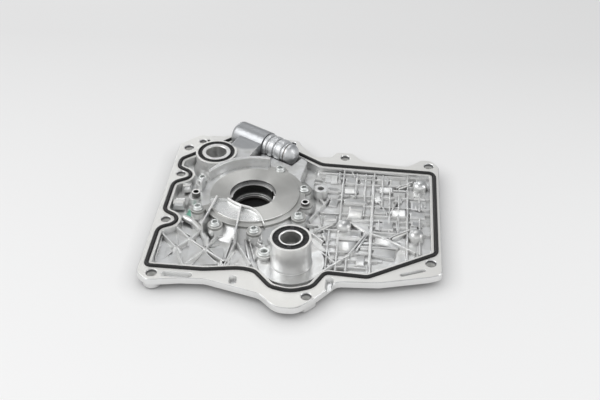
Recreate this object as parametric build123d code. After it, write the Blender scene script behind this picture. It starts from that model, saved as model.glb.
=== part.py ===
from build123d import *
from math import atan2, cos, hypot, pi, radians, sin, sqrt, tan
import os

os.makedirs("parts", exist_ok=True)

# Millimetres.  Z = 0 is the sealing face, +Z points out of it; the crank axis is X = Y = 0.

# casting
FLANGE_THICKNESS = 8.0
PAN_DEPTH = 9.0
FLOOR_THICKNESS = 4.0
PAN_WALL = 3.5
GASKET_WIDTH = 3.2
GASKET_HEIGHT = 3.8
GROOVE_WIDTH = 4.0
GROOVE_DEPTH = 1.8
LAND_WIDTH = 2.4
PAD_HEIGHT = 0.8
HOLE_CHAMFER = 0.8
RIB_TOP = -3.2
RIB_CROWN = 1.2
RIB_DRAFT = 0.30
SKIRT_TOP = 3.0
SKIRT_REACH = 15.0
APRON_R = 30.0
APRON_TOP = -1.8

# pump
CRANK_HOLE_R = 22.0
ROTOR_BORE_R = 19.5
ROTOR_HEIGHT = 10.0
ROTOR_FLOOR_Z = -6.0
AXIAL_CLEARANCE = 0.05
INNER_LOBES = 8
LOBE_CIRCLE_R = 34.0
LOBE_R = 6.5
ECCENTRICITY = 2.8
ECCENTRIC_DIRECTION = 34.0
MESH_CLEARANCE = 0.06
RING_WALL = 4.1
RUNNING_CLEARANCE = 0.08
BODY_R = 50.0
PLATE_THICKNESS = 4.0
PLATE_R = 44.5
PLATE_EDGE_STEP = 1.2
PLATE_RIM = 2.0
PLATE_RELIEF_DEPTH = 2.6
VANE_TOP = 11.0
VANE_WIDTH = 1.6
SCROLL = [(-22.5, -9), (-17.5, -15.5), (-9, -21), (0, -23.4), (6.5, -27), (12.2, -36), (17.1, -49.4),
          (21.5, -57)]
SPOKES = [((-8.6, -22), (-7.9, -64)), ((-33.5, -10), (-40.2, -52))]
COLLAR_IN_R = 41.5
COLLAR_LIP_R = 47.0
COLLAR_OUT_R = 50.0
COLLAR_SHIFT = (-1.5, 4.0)
COLLAR_TOP = 14.5
COLLAR_ARC = (78.0, 205.0)

# crank seal
SEAL_R = 25.0
SEAL_DEPTH = 5.5
SEAL_SHOULDER_R = 18.4
SEAL_LIP_R = 16.2

# ports: x, y, outer radius, top, bore radius, liner outer radius, seal outer radius
OUTLET = dict(x=-45.5, y=61.5, r=20.7, top=12.0, bore=10.15, liner=14.4, seal=18.6)
INLET = dict(x=45.2, y=-85.1, r=18.4, top=26.0, bore=9.0, liner=10.9, seal=16.3)
PORT_SEAL_DEPTH = 2.2
LINER_LENGTH = 14.0
LINER_SEAT = 1.2
GALLERY_WIDTH = 8.0
GALLERY_HEIGHT = 4.5
GALLERY_WALL = 3.5

# relief valve barrel, measured along its own axis from the blind end
BARREL_START = (-30.0, 105.4, 7.0)
BARREL_TURN = -30.8
BARREL_R = 14.0
BARREL_LENGTH = 40.0
VALVE_BORE_R = 8.0
VALVE_BORE_FROM = 6.0
PISTON_CLEARANCE = 0.05
PISTON_LENGTH = 14.0
PISTON_WALL = 2.4
SPRING_R = 4.2
SPRING_WIRE = 1.3
SPRING_TURNS = 9
SLEEVE_LENGTH = 26.0
SLEEVE_SPIGOT = 8.0
SLEEVE_ROOM_R = 13.2

OUTLINE = [(-89.3, 91, 6), (-71, 108.5, 8), (-39, 109, 8), (-35, 121, 8), (-25, 127, 8), (17, 103.5, 5),
           (23, 108.5, 5), (34, 107.5, 6), (38, 99, 8), (53, 79, 8), (70, 80, 4), (74, 89, 5),
           (91, 89, 6), (104, 75, 12), (148, 70, 14), (162, 83, 6), (172, 83, 7), (179.5, 72, 8),
           (179.5, -92, 8), (168, -97, 20), (125, -108, 20), (88, -110, 10), (70, -133, 14),
           (56, -147, 16), (38, -147, 18), (22, -131, 16), (-10, -122, 16), (-28, -117, 16),
           (-50, -118, 20), (-78, -123, 8), (-89, -113, 8)]
GASKET_LINE = [(-36, 104.5, 5), (-47, 93.5, 5), (-82.5, 62, 9), (-82.5, 48, 9), (-68, 40, 9),
               (-68, 30, 9), (-82.5, 21, 10), (-82.5, -24, 10), (-68, -32, 9), (-68, -43, 9),
               (-82.5, -51, 10), (-82.5, -104, 5), (-30, -105, 40), (2, -100, 40), (15, -103, 12),
               (31, -122, 14), (48.5, -126.5, 24), (67, -119, 14), (76.5, -99.5, 7), (114, -102, 8),
               (174.5, -65, 8), (174.5, 60, 6), (62, 65, 14), (36, 83, 8), (24.5, 95, 8),
               (-21, 119.3, 8), (-31, 118, 7)]
# flange holes: name -> x, y, radius
FLANGE_HOLES = {
    "corner_a": (-78.5, 84.0, 4.5), "corner_b": (-66.0, 97.0, 3.4), "left_upper": (-78.0, 37.0, 4.2),
    "left_lower": (-78.0, -37.0, 4.2), "foot_left": (-75.0, -113.0, 4.5), "foot_mid": (63.0, -131.0, 4.2),
    "right_lower": (169.5, -78.0, 4.5), "right_upper": (169.5, 73.0, 4.5), "top_mid": (84.5, 80.0, 4.2),
    "top_inner": (28.5, 101.0, 3.2)}
PIN_HOLE = (-60.5, 99.0, 1.8)
COVER_SCREWS = [(-52.5, 20.0), (-48.9, -26.6), (-28.8, -49.0), (8.2, -55.2), (46.9, -31.0), (48.3, 11.8),
                (21.8, 42.5)]
DOWELS = [(-54.8, -3.5), (51.3, -10.0)]
SCREW_LOBE_R = 7.0
SCREW_R = 2.5
SCREW_HEAD_R = 4.8
SCREW_HEAD_H = 3.4
SCREW_LENGTH = 12.0
SOCKET_R = 2.4
DOWEL_R = 4.0
DOWEL_BORE_R = 2.6
DOWEL_LENGTH = 10.0

# plain rib lattice: x range or y range, constant coordinate
RIBS_X = [(56, 60, 172), (49, 62, 132), (40, 98, 172), (33, 118, 150), (27, 70, 100), (21, 82, 172),
          (13, 70, 112), (5, 108, 172), (-3, 116, 172), (-9, 66, 150), (-17, 96, 172), (-25, 112, 150),
          (-34, 62, 172), (-46, 66, 112), (-56, 72, 140), (-66, 66, 130), (-76, 72, 122), (-86, 66, 112)]
RIBS_Y = [(85, -95, 61), (76, -95, -36), (115.5, -96, 60), (148.5, -72, 58), (98, 20, 57), (107, -12, 57),
          (124, 4, 57), (131.5, -34, 42), (140, -34, 24), (160, -64, -10), (160, 0, 30), (94, -70, -95)]
RIBS_DIAGONAL = [((154, 48), (137, 36)), ((150.5, -29), (131, -43.0)),
                 ((81.6, -23.8), (62.0, -39.0)), ((94, -23), (111.4, -36.3)),
                 ((111.4, -36.3), (127.2, -43.7)), ((127.2, -43.7), (156.0, -62.0)),
                 ((72.0, 10.0), (56.0, -24.0)), ((60.5, -42.9), (72.0, -54.0)),
                 ((111.4, -36.3), (96.0, -70.0)), ((60.5, -54.0), (60.5, -94.0)),
                 ((62.0, -60.0), (84.0, -82.0)), ((72.0, -97.0), (96.0, -70.0))]
RIBS_CORNER = [((-67.0, -44.0), (-50.5, -61.3)), ((-50.5, -61.3), (-33.8, -74.8)),
               ((-33.8, -74.8), (-13.8, -90.0)), ((-78.0, -55.0), (-61.0, -74.4)),
               ((-61.0, -74.4), (-49.8, -98.0)), ((-50.5, -61.3), (-61.0, -74.4)),
               ((-33.8, -74.8), (-49.8, -98.0)), ((-50.5, -61.3), (-41.0, -44.0)),
               ((-33.8, -74.8), (-26.0, -50.0)), ((-13.8, -98.0), (-8.0, -58.0)),
               ((-8.0, -60.0), (10.0, -92.0)), ((8.0, -58.0), (30.0, -76.0))]
POSTS = [(160.4, 39.4), (156.6, -38.3), (89.2, -30.4)]
POST_R = 7.0
POST_TOP = -1.0
NOZZLE = dict(x=64.1, y=18.2, r=6.4, bore=3.1, top=5.0, depth=12.0)
# raised floor fields: x, y, width, depth, top
RAISED_FLOORS = [(57, -110, 120, 180, -5.6), (-90, -110, 110, 68, -6.2)]
FLOOR_PADS = [(-78, -11, 12, 9, -2), (-74, 18, 9, 7, -2), (-62, -16, 10, 22, -6), (66, 41, 17, 14, -3.9),
              (100, 22, 13, 10, -4), (100, 42, 13, 6, -3.9), (118, 42, 12, 13, -4), (134, 22, 13, 9, -4),
              (134, -8, 13, 12, -3.8), (118, -31, 12, 12, -3.8), (117, -1, 6, 10, -4), (150, 8, 17, 11, -4),
              (150, -16, 17, 6, -4), (150, -30, 8, 10, -4.2), (69, -30, 14, 18, -4), (105, -52, 22, 4, -4.2),
              (105, -60, 26, 4, -4.2), (105, -68, 30, 4, -4.2), (105, -76, 22, 4, -4.2),
              (70, 15, 12, 5, -4.2), (86, 6, 10, 6, -4.4), (134, 43, 13, 6, -4)]
FLOOR_RECESSES = [(93, -15, 14, 19), (87, -63, 14, 14), (150, 44, 8, 12), (124, 28, 7, 11), (77, -92, 16, 8)]
RIB_NODES = [(-50.5, -61.3), (-33.8, -74.8), (-61.0, -74.4), (111.4, -36.3), (127.2, -43.7)]
EDGE_CHAMFER = 0.7
POCKETS = [((-63, -113.5), (-42, -113.5), 7), ((-2.5, -113.5), (-2.5, -118), 7),
           ((81.5, -108), (81.5, -119), 7), ((144, -96), (163, -88), 4)]
POCKET_DEPTH = 4.5
POCKET_DRAFT = 20.0
SADDLE_SPAN = (13.0, 40.0)
SADDLE_REACH = 40.0
SADDLE_TOPS = (15.0, 9.0)
SHOULDER = [(-4, 44, 3), (0, 82, 4), (34, 74, 4), (47, 62, 3), (43, 33, 3), (45, 20, 3), (30, 20, 3)]
PLUG = dict(x=20.8, y=-79.5, boss=8.0, top=2.0, r=6.4, socket=2.9, thread=4.5, depth=9.0)
DRAIN = (-13.8, -90.0, 2.2)

FLOOR_Z = -PAN_DEPTH
REST_Z = -PAN_DEPTH - FLOOR_THICKNESS
UNDER_Z = REST_Z + PAD_HEIGHT
PLATE_Z = ROTOR_FLOOR_Z + ROTOR_HEIGHT
DISC_Z = PLATE_Z + PLATE_THICKNESS
OUTER_LOBES = INNER_LOBES + 1
ROOT_R = LOBE_CIRCLE_R + 2 * ECCENTRICITY - LOBE_R
RING_R = ROOT_R + RING_WALL
ECC_X = ECCENTRICITY * cos(radians(ECCENTRIC_DIRECTION))
ECC_Y = ECCENTRICITY * sin(radians(ECCENTRIC_DIRECTION))
UP = (Align.CENTER, Align.CENTER, Align.MIN)


def rounded_face(corners):
    """Closed outline with its own radius at every corner."""
    edges, previous_end, first_start = [], None, None
    for i, (x, y, r) in enumerate(corners):
        p = Vector(x, y)
        a = Vector(*corners[i - 1][:2]) - p
        b = Vector(*corners[(i + 1) % len(corners)][:2]) - p
        half = radians(a.get_angle(b)) / 2
        reach = min(r / tan(half), 0.49 * a.length, 0.49 * b.length)
        radius = reach * tan(half)
        start, end = p + a.normalized() * reach, p + b.normalized() * reach
        bisector = (a.normalized() + b.normalized()).normalized()
        middle = p + bisector * (radius / sin(half) - radius)
        if previous_end is None:
            first_start = start
        else:
            edges.append(Line(previous_end, start))
        edges.append(ThreePointArc(start, middle, end))
        previous_end = end
    edges.append(Line(previous_end, first_start))
    return make_face(edges)


def post(x, y, r, low, high):
    return Pos(x, y, low) * Cylinder(r, high - low, align=UP)


def bar(p, q, width, low, high):
    """Straight rib between two plan points, with round ends."""
    (x0, y0), (x1, y1) = p, q
    length = hypot(x1 - x0, y1 - y0)
    turn = atan2(y1 - y0, x1 - x0) * 180 / pi
    return Pos((x0 + x1) / 2, (y0 + y1) / 2, low) * Rot(0, 0, turn) * Box(
        length + width, width, high - low, align=UP)


def sector(r0, r1, start, stop, low, high):
    """Annular sector standing on z = low."""
    a, b, m = radians(start), radians(stop), radians((start + stop) / 2)
    at = lambda r, t: (r * cos(t), r * sin(t))
    face = make_face([Line(at(r0, a), at(r1, a)), ThreePointArc(at(r1, a), at(r1, m), at(r1, b)),
                      Line(at(r1, b), at(r0, b)), ThreePointArc(at(r0, b), at(r0, m), at(r0, a))])
    return Pos(0, 0, low) * extrude(face, high - low)


def along_barrel(shape, distance=0.0):
    """Place a shape whose own +Z runs along the valve axis."""
    return Pos(*BARREL_START) * Rot(0, 0, BARREL_TURN) * Rot(0, 90, 0) * Pos(0, 0, distance) * shape


def union(shapes):
    return Part() + [s for shape in shapes for s in (shape if isinstance(shape, list) else [shape])]


def rib(p, q, low, high):
    """Cast rib between two plan points: narrow crown, drafted sides."""
    (x0, y0), (x1, y1) = p, q
    top, foot = RIB_CROWN / 2, RIB_CROWN / 2 + (high - low) * RIB_DRAFT
    section = make_face(Polyline((-foot, low), (foot, low), (top, high), (-top, high), close=True))
    start = Plane(origin=(x0, y0, 0), x_dir=(y0 - y1, x1 - x0, 0), z_dir=(x1 - x0, y1 - y0, 0))
    return start * extrude(section, hypot(x1 - x0, y1 - y0))


def gasket_ring(width, low, high):
    line = rounded_face(GASKET_LINE)
    ring = offset(line, width / 2) - offset(line, -width / 2)
    return Pos(0, 0, low) * extrude(ring, high - low)


def inner_region(inset, low, high):
    """Space inside the gasket, a given distance in from its centre line."""
    return Pos(0, 0, low) * extrude(offset(rounded_face(GASKET_LINE), -inset), high - low)


def body_outline(grow=0.0):
    shape = Circle(BODY_R + grow)
    for x, y in COVER_SCREWS + DOWELS:
        shape += Pos(x, y) * Circle(SCREW_LOBE_R + grow)
    return shape


def lattice():
    ribs = [rib((x0, y), (x1, y), FLOOR_Z, RIB_TOP) for y, x0, x1 in RIBS_X]
    ribs += [rib((x, y0), (x, y1), FLOOR_Z, RIB_TOP + 0.8) for x, y0, y1 in RIBS_Y]
    ribs += [rib(p, q, FLOOR_Z, RIB_TOP + 1.5) for p, q in RIBS_DIAGONAL + RIBS_CORNER]
    return union(ribs)


def saddle():
    """Sloping web from the barrel's flank down to the pump."""
    high, low = SADDLE_TOPS
    turn = radians(BARREL_TURN)
    x0, y0 = BARREL_START[0], BARREL_START[1]
    x, y = x0 + SADDLE_SPAN[0] * cos(turn), y0 + SADDLE_SPAN[0] * sin(turn)
    section = make_face(Polyline((0, FLOOR_Z), (0, high), (-SADDLE_REACH * 0.4, high), (-SADDLE_REACH, low),
                                 (-SADDLE_REACH, FLOOR_Z), close=True))
    start = Plane(origin=(x, y, 0), x_dir=(-sin(turn), cos(turn), 0), z_dir=(cos(turn), sin(turn), 0))
    return start * extrude(section, SADDLE_SPAN[1] - SADDLE_SPAN[0])


def collar():
    """Dished wall around the upper left of the disc."""
    wall = Pos(*COLLAR_SHIFT) * post(0, 0, COLLAR_OUT_R, FLOOR_Z, COLLAR_TOP)
    dish = Pos(0, 0, DISC_Z) * Cone(COLLAR_IN_R, COLLAR_LIP_R, COLLAR_TOP - DISC_Z + 0.01, align=UP)
    return (wall - dish) & sector(COLLAR_IN_R - 3, COLLAR_OUT_R + 9, *COLLAR_ARC, FLOOR_Z, COLLAR_TOP)


def outer_side():
    """Machined pads and shallow ribs of the side that faces out of the engine."""
    shapes = [post(0, 0, SEAL_R + 11, REST_Z, UNDER_Z)]
    places = [(p["x"], p["y"]) for p in (OUTLET, INLET)] + POSTS
    for x, y in places:
        shapes.append(post(x, y, 10, REST_Z, UNDER_Z))
        shapes.append(bar((0, 0), (x, y), 5, REST_Z, UNDER_Z))
    for x, y, r in FLANGE_HOLES.values():
        shapes.append(post(x, y, r + 4, UNDER_Z + 1, -FLANGE_THICKNESS + 1))
    return union(shapes) & Pos(0, 0, REST_Z) * extrude(offset(rounded_face(OUTLINE), -0.8), 10)


def gallery(port, extra, low, high):
    """Passage between the rotor cavity and a port, or the casting around it."""
    reach = hypot(port["x"], port["y"])
    start = LOBE_CIRCLE_R - LOBE_R / 2
    ux, uy = port["x"] / reach, port["y"] / reach
    return bar((ux * start, uy * start), (port["x"], port["y"]), GALLERY_WIDTH + extra, low, high)


def pocket(p, q, width):
    """Drafted pocket in the flange, open at the sealing face."""
    (x0, y0), (x1, y1) = p, q
    turn = atan2(y1 - y0, x1 - x0) * 180 / pi
    mouth = SlotOverall(hypot(x1 - x0, y1 - y0) + width, width)
    cut = extrude(mouth, -POCKET_DEPTH, taper=POCKET_DRAFT)
    return Pos((x0 + x1) / 2, (y0 + y1) / 2, 0) * Rot(0, 0, turn) * (cut + extrude(mouth, 1))


def raised(x, y, width, depth, top):
    """Cast field with drafted sides, standing on the pan floor."""
    field = Pos(x + width / 2, y + depth / 2, FLOOR_Z) * Rectangle(width, depth)
    return extrude(field, top - FLOOR_Z, taper=8)


def thin_ribs(low):
    """Thin oil guides that cross the front of the pump."""
    ridge = Spline(*SCROLL)
    ridge = extrude(offset(ridge, VANE_WIDTH / 2, side=Side.BOTH), VANE_TOP - low)
    return union([Pos(0, 0, low) * ridge] + [bar(p, q, VANE_WIDTH, low, VANE_TOP - 1) for p, q in SPOKES])


def block(corners, low, high):
    return Pos(0, 0, low) * extrude(rounded_face(corners), high - low)


def cover_casting():
    flange = Pos(0, 0, -FLANGE_THICKNESS) * extrude(rounded_face(OUTLINE), FLANGE_THICKNESS)
    flange = chamfer(flange.edges().group_by(Axis.Z)[-1], EDGE_CHAMFER)
    flange = chamfer(flange.edges().group_by(Axis.Z)[0], 2 * EDGE_CHAMFER)
    inset = GROOVE_WIDTH / 2 + LAND_WIDTH
    pan = inner_region(inset - PAN_WALL - GROOVE_WIDTH / 2, UNDER_Z, 0)
    pan = chamfer(pan.edges().group_by(Axis.Z)[0], 1.0)
    casting = flange + pan + outer_side() - inner_region(inset, FLOOR_Z, 1)
    inside = inner_region(inset, FLOOR_Z - 1, 60)
    casting += lattice() & inside
    above_plate = Pos(0, 0, PLATE_Z) * extrude(body_outline(0.4), 30)
    forms = [Pos(0, 0, FLOOR_Z) * Cone(BODY_R + SKIRT_REACH, BODY_R, SKIRT_TOP - FLOOR_Z, align=UP)]
    forms += [(saddle() + collar() + block(SHOULDER, FLOOR_Z, PLATE_Z + 1)) - above_plate]
    forms.append(post(INLET["x"], INLET["y"], APRON_R, FLOOR_Z, APRON_TOP))
    for port in (OUTLET, INLET):
        flare = Cone(port["r"] + 3.5, port["r"], 9, align=UP)
        forms.append(Pos(port["x"], port["y"], FLOOR_Z) * flare)
    for x, y in POSTS:
        forms.append(Pos(x, y, FLOOR_Z) * Cone(POST_R + 1.2, POST_R, POST_TOP - FLOOR_Z, align=UP))
        forms.append(Pos(x, y, POST_TOP) * scale(Sphere(POST_R), (1, 1, 0.7)))
    forms.append(post(NOZZLE["x"], NOZZLE["y"], NOZZLE["r"], FLOOR_Z, NOZZLE["top"]))
    recesses = union([raised(*field, 0) for field in FLOOR_RECESSES])
    forms += [raised(*field) - recesses for field in RAISED_FLOORS]
    forms += [raised(*field) for field in FLOOR_PADS]
    forms += [Pos(x, y, FLOOR_Z) * Cone(8, 1.6, RIB_TOP + 1.9 - FLOOR_Z, align=UP) for x, y in RIB_NODES]
    forms.append(post(PLUG["x"], PLUG["y"], PLUG["boss"], FLOOR_Z, PLUG["top"]))
    forms.append(post(DRAIN[0], DRAIN[1], DRAIN[2] + 2.4, FLOOR_Z, RIB_TOP))
    forms.append(thin_ribs(FLOOR_Z) - post(0, 0, BODY_R + 0.4, REST_Z, 30))
    casting += union(forms) & inside
    body = [Pos(0, 0, REST_Z) * extrude(body_outline(), PLATE_Z - REST_Z)]
    for port in (OUTLET, INLET):
        body.append(post(port["x"], port["y"], port["r"], REST_Z, port["top"]))
        body.append(gallery(port, 2 * GALLERY_WALL, REST_Z, ROTOR_FLOOR_Z + GALLERY_WALL))
    within_groove = offset(rounded_face(GASKET_LINE), -GROOVE_WIDTH / 2)
    body.append(barrel() & Pos(0, 0, REST_Z) * extrude(within_groove, 80))
    beside_sleeve = along_barrel(Cylinder(SLEEVE_ROOM_R, SLEEVE_LENGTH + 14, align=UP), BARREL_LENGTH)
    return union([casting] + body) - beside_sleeve - hollows()


def barrel():
    """Cast tube of the relief valve with its web down to the floor."""
    tube = along_barrel(fillet(Cylinder(BARREL_R, BARREL_LENGTH, align=UP).edges().group_by(Axis.Z)[0], 5))
    web = along_barrel(Box(14, 16, BARREL_LENGTH - 3, align=(Align.MIN, Align.CENTER, Align.MIN)), 1)
    return tube + web


def hollows():
    """Everything bored, drilled or milled out of the casting."""
    cuts = [gasket_ring(GROOVE_WIDTH, -GROOVE_DEPTH, 1)]
    for x, y, r in FLANGE_HOLES.values():
        cuts.append(post(x, y, r, -FLANGE_THICKNESS - 8, 1))
        cuts.append(Pos(x, y, -HOLE_CHAMFER) * Cone(r, r + HOLE_CHAMFER, HOLE_CHAMFER, align=UP))
    cuts.append(post(*PIN_HOLE, -6, 1))
    cuts.append(post(*DRAIN, FLOOR_Z - 2, RIB_TOP + 1))
    cuts.append(post(PLUG["x"], PLUG["y"], PLUG["thread"], PLUG["top"] - PLUG["depth"], PLUG["top"] + 1))
    cuts += [pocket(*line) for line in POCKETS]
    cuts.append(Pos(ECC_X, ECC_Y, ROTOR_FLOOR_Z) * Cylinder(RING_R + RUNNING_CLEARANCE, 60, align=UP)
                & post(0, 0, 90, ROTOR_FLOOR_Z, PLATE_Z))
    cuts.append(post(0, 0, SEAL_SHOULDER_R, REST_Z - 1, ROTOR_FLOOR_Z + 1))
    cuts.append(post(0, 0, SEAL_R, REST_Z - 1, REST_Z + SEAL_DEPTH))
    for port, direction in ((OUTLET, 90), (INLET, -90)):
        middle = ECCENTRIC_DIRECTION + direction
        kidney_in = SEAL_R + 2.0
        cuts.append(sector(kidney_in, ROOT_R - 0.6, middle - 70, middle + 70,
                           ROTOR_FLOOR_Z - 3.5, ROTOR_FLOOR_Z + 0.5))
        cuts.append(gallery(port, 0, ROTOR_FLOOR_Z - GALLERY_HEIGHT, ROTOR_FLOOR_Z))
        x, y, top = port["x"], port["y"], port["top"]
        cuts.append(post(x, y, port["liner"], top - LINER_LENGTH, top + 1))
        cuts.append(post(x, y, port["bore"] - LINER_SEAT, ROTOR_FLOOR_Z - GALLERY_HEIGHT, top))
        cuts.append(post(x, y, port["seal"], top - PORT_SEAL_DEPTH, top + 1))
    cuts += [post(x, y, SCREW_R, PLATE_Z - SCREW_LENGTH, PLATE_Z + 1) for x, y in COVER_SCREWS]
    cuts += [post(x, y, DOWEL_R, PLATE_Z - DOWEL_LENGTH / 2, PLATE_Z + 1) for x, y in DOWELS]
    cuts.append(post(NOZZLE["x"], NOZZLE["y"], NOZZLE["bore"], NOZZLE["top"] - NOZZLE["depth"],
                     NOZZLE["top"] + 1))
    cuts.append(along_barrel(Cylinder(VALVE_BORE_R, BARREL_LENGTH, align=UP), VALVE_BORE_FROM))
    return union(cuts)


def perimeter_gasket():
    """Moulded bead standing proud of its groove."""
    low = -GROOVE_DEPTH
    bead = gasket_ring(GASKET_WIDTH, low, low + GASKET_HEIGHT - 0.6)
    crown = gasket_ring(GASKET_WIDTH - 1.2, low + GASKET_HEIGHT - 0.6, low + GASKET_HEIGHT)
    return bead + crown


def cover_plate():
    low = Pos(0, 0, PLATE_Z) * extrude(body_outline(), PLATE_THICKNESS - PLATE_EDGE_STEP)
    disc = post(0, 0, PLATE_R, PLATE_Z, DISC_Z)
    plate = low + disc
    plate -= sector(COLLAR_IN_R - 0.3, COLLAR_OUT_R + 20, COLLAR_ARC[0] - 1, COLLAR_ARC[1] + 1,
                    PLATE_Z - 1, DISC_Z + 1)
    plate -= post(0, 0, CRANK_HOLE_R, PLATE_Z - 1, DISC_Z + 1)
    plate -= union([post(x, y, SCREW_R + 0.3, PLATE_Z - 1, DISC_Z + 1) for x, y in COVER_SCREWS])
    seat_z = DISC_Z - PLATE_EDGE_STEP
    plate -= union([post(x, y, SCREW_HEAD_R + 0.5, seat_z, DISC_Z + 1) for x, y in COVER_SCREWS])
    plate -= union([post(x, y, DOWEL_R, PLATE_Z - 1, DISC_Z + 1) for x, y in DOWELS])
    plate -= plate_relief()
    plate += thin_ribs(PLATE_Z + 1) & post(0, 0, BODY_R, PLATE_Z, VANE_TOP) - post(
        0, 0, CRANK_HOLE_R, PLATE_Z, VANE_TOP)
    return plate


def plate_relief():
    """Lowered front-left field of the disc, between its rim and the scroll."""
    edge = [Line(SCROLL[0], (-90, -9)), Line((-90, -9), (-90, -90)), Line((-90, -90), (SCROLL[-1][0], -90)),
            Line((SCROLL[-1][0], -90), SCROLL[-1]), Spline(*reversed(SCROLL))]
    field = extrude(make_face(edge), PLATE_RELIEF_DEPTH + 1)
    within_rim = post(0, 0, PLATE_R - PLATE_RIM, PLATE_Z, DISC_Z + 1)
    return Pos(0, 0, DISC_Z - PLATE_RELIEF_DEPTH) * field & within_rim


def cover_screw():
    """Pan-head screw with a hexagon socket; z = 0 is under its head."""
    head = Cylinder(SCREW_HEAD_R, SCREW_HEAD_H, align=UP)
    head = fillet(head.edges().group_by(Axis.Z)[-1], 1.2)
    shank = Pos(0, 0, -SCREW_LENGTH + 4) * Cylinder(SCREW_R, SCREW_LENGTH - 4, align=UP)
    socket = Pos(0, 0, SCREW_HEAD_H - 2) * extrude(RegularPolygon(SOCKET_R, 6), 3)
    return head + shank - socket


def gallery_plug():
    """Hexagon-socket plug with a flat collar, closing a drilled passage."""
    collar = fillet(Cylinder(PLUG["r"], 2.4, align=UP).edges().group_by(Axis.Z)[-1], 0.6)
    thread = Pos(0, 0, -PLUG["depth"] + 1) * Cylinder(PLUG["thread"], PLUG["depth"] - 1, align=UP)
    socket = Pos(0, 0, -1.5) * extrude(RegularPolygon(PLUG["socket"], 6), 5)
    return Pos(PLUG["x"], PLUG["y"], PLUG["top"]) * (collar + thread - socket)


def at_all(shape, places, z):
    return Compound(children=[Pos(x, y, z) * shape for x, y in places])


def inner_rotor():
    """Trochoid rotor: the lobe circle's path, offset inwards by the lobe radius."""
    n, per_lobe, points = OUTER_LOBES, 16, []
    for i in range(INNER_LOBES * per_lobe):
        # samples crowd towards each root, where the profile turns fastest
        lobe, s = i // per_lobe, 2 * (i % per_lobe) / per_lobe - 1
        t = (pi / INNER_LOBES) * (1 + 2 * lobe + 0.25 * s + 0.75 * s ** 3)
        x = LOBE_CIRCLE_R * cos(t) + ECCENTRICITY * cos(n * t)
        y = LOBE_CIRCLE_R * sin(t) + ECCENTRICITY * sin(n * t)
        dx = -LOBE_CIRCLE_R * sin(t) - n * ECCENTRICITY * sin(n * t)
        dy = LOBE_CIRCLE_R * cos(t) + n * ECCENTRICITY * cos(n * t)
        k = (LOBE_R + MESH_CLEARANCE) / hypot(dx, dy)
        points.append((x - dy * k, y + dx * k))
    face = make_face(Spline(*points, periodic=True))
    height = ROTOR_HEIGHT - 2 * AXIAL_CLEARANCE
    rotor = Pos(0, 0, ROTOR_FLOOR_Z + AXIAL_CLEARANCE) * extrude(face, height)
    rotor -= post(0, 0, ROTOR_BORE_R, -30, 30)
    rotor -= Rot(0, 0, 20) * Box(2 * ROTOR_BORE_R + 2.4, 8, 60)
    return rotor


def outer_rotor():
    phase = radians(ECCENTRIC_DIRECTION) / OUTER_LOBES
    hollow = Circle(ROOT_R + MESH_CLEARANCE)
    for i in range(OUTER_LOBES):
        t = phase + 2 * pi * i / OUTER_LOBES
        hollow -= Pos(LOBE_CIRCLE_R * cos(t), LOBE_CIRCLE_R * sin(t)) * Circle(LOBE_R)
    height = ROTOR_HEIGHT - 2 * AXIAL_CLEARANCE
    return Pos(ECC_X, ECC_Y, ROTOR_FLOOR_Z + AXIAL_CLEARANCE) * extrude(Circle(RING_R) - hollow, height)


def turned(points):
    """Solid of revolution about Z from (radius, z) points."""
    profile = make_face(Polyline(*[(r, 0, z) for r, z in points], close=True))
    return revolve(profile, Axis.Z)


def crank_seal():
    """Metal case, rubber lip and garter spring, in the order they nest."""
    z0, z1, r = REST_Z, REST_Z + SEAL_DEPTH, SEAL_R
    case = turned([(r, z0 + 0.4), (r, z1), (r - 4, z1), (r - 4, z1 - 1), (r - 1.2, z1 - 1),
                   (r - 1.2, z0 + 0.4)])
    lip_r = SEAL_LIP_R
    lip = turned([(r - 1.2, z0 + 0.4), (r - 1.2, z1 - 1), (r - 4, z1 - 1), (r - 5, z1 - 1.6),
                  (lip_r + 2.4, z1 - 0.6), (lip_r + 1.2, z1 - 0.6), (lip_r, z1 - 2), (lip_r + 0.8, z1 - 3),
                  (lip_r + 0.5, z0 + 0.9), (lip_r + 1.1, z0 + 0.4), (r - 5.6, z0 + 1.6), (r - 2.6, z0 + 0.4)])
    spring_r, wire = lip_r + 2.2, 0.7
    spring = Pos(0, 0, z1 - 0.6 - wire * 0.6) * Torus(spring_r, wire)
    return case, lip - spring, spring


def port_liner(port):
    ring = Circle(port["liner"]) - Circle(port["bore"])
    return Pos(port["x"], port["y"], port["top"] - LINER_LENGTH) * extrude(ring, LINER_LENGTH)


def face_seal(port, bars):
    """Moulded ring with two raised lips, and radial bars between them if asked."""
    r0, r1, low = port["liner"], port["seal"], port["top"] - PORT_SEAL_DEPTH
    lip, base = 1.3, PORT_SEAL_DEPTH - 1.0
    seal = extrude(Circle(r1) - Circle(r0), base)
    seal += Pos(0, 0, base) * extrude(Circle(r1) - Circle(r1 - lip), 1.4)
    seal += Pos(0, 0, base) * extrude(Circle(r0 + lip) - Circle(r0), 1.4)
    for i in range(bars):
        mid, wide = (r0 + r1) / 2, (3.4 if i % (bars // 2) == 2 else 1.8)
        seal += Rot(0, 0, 360 * i / bars) * Pos(mid, 0, base) * Box(r1 - r0 - lip, wide, 1.2, align=UP)
    return Pos(port["x"], port["y"], low) * seal


def valve_piston():
    r, length = VALVE_BORE_R - PISTON_CLEARANCE, PISTON_LENGTH
    cup = Cylinder(r, length, align=UP) - Pos(0, 0, PISTON_WALL) * Cylinder(r - PISTON_WALL, length, align=UP)
    cup -= Pos(0, 0, length * 0.55) * (Cylinder(r + 1, 1.6) - Cylinder(r - 0.7, 1.6))
    return along_barrel(cup, VALVE_BORE_FROM + 0.4)


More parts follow.
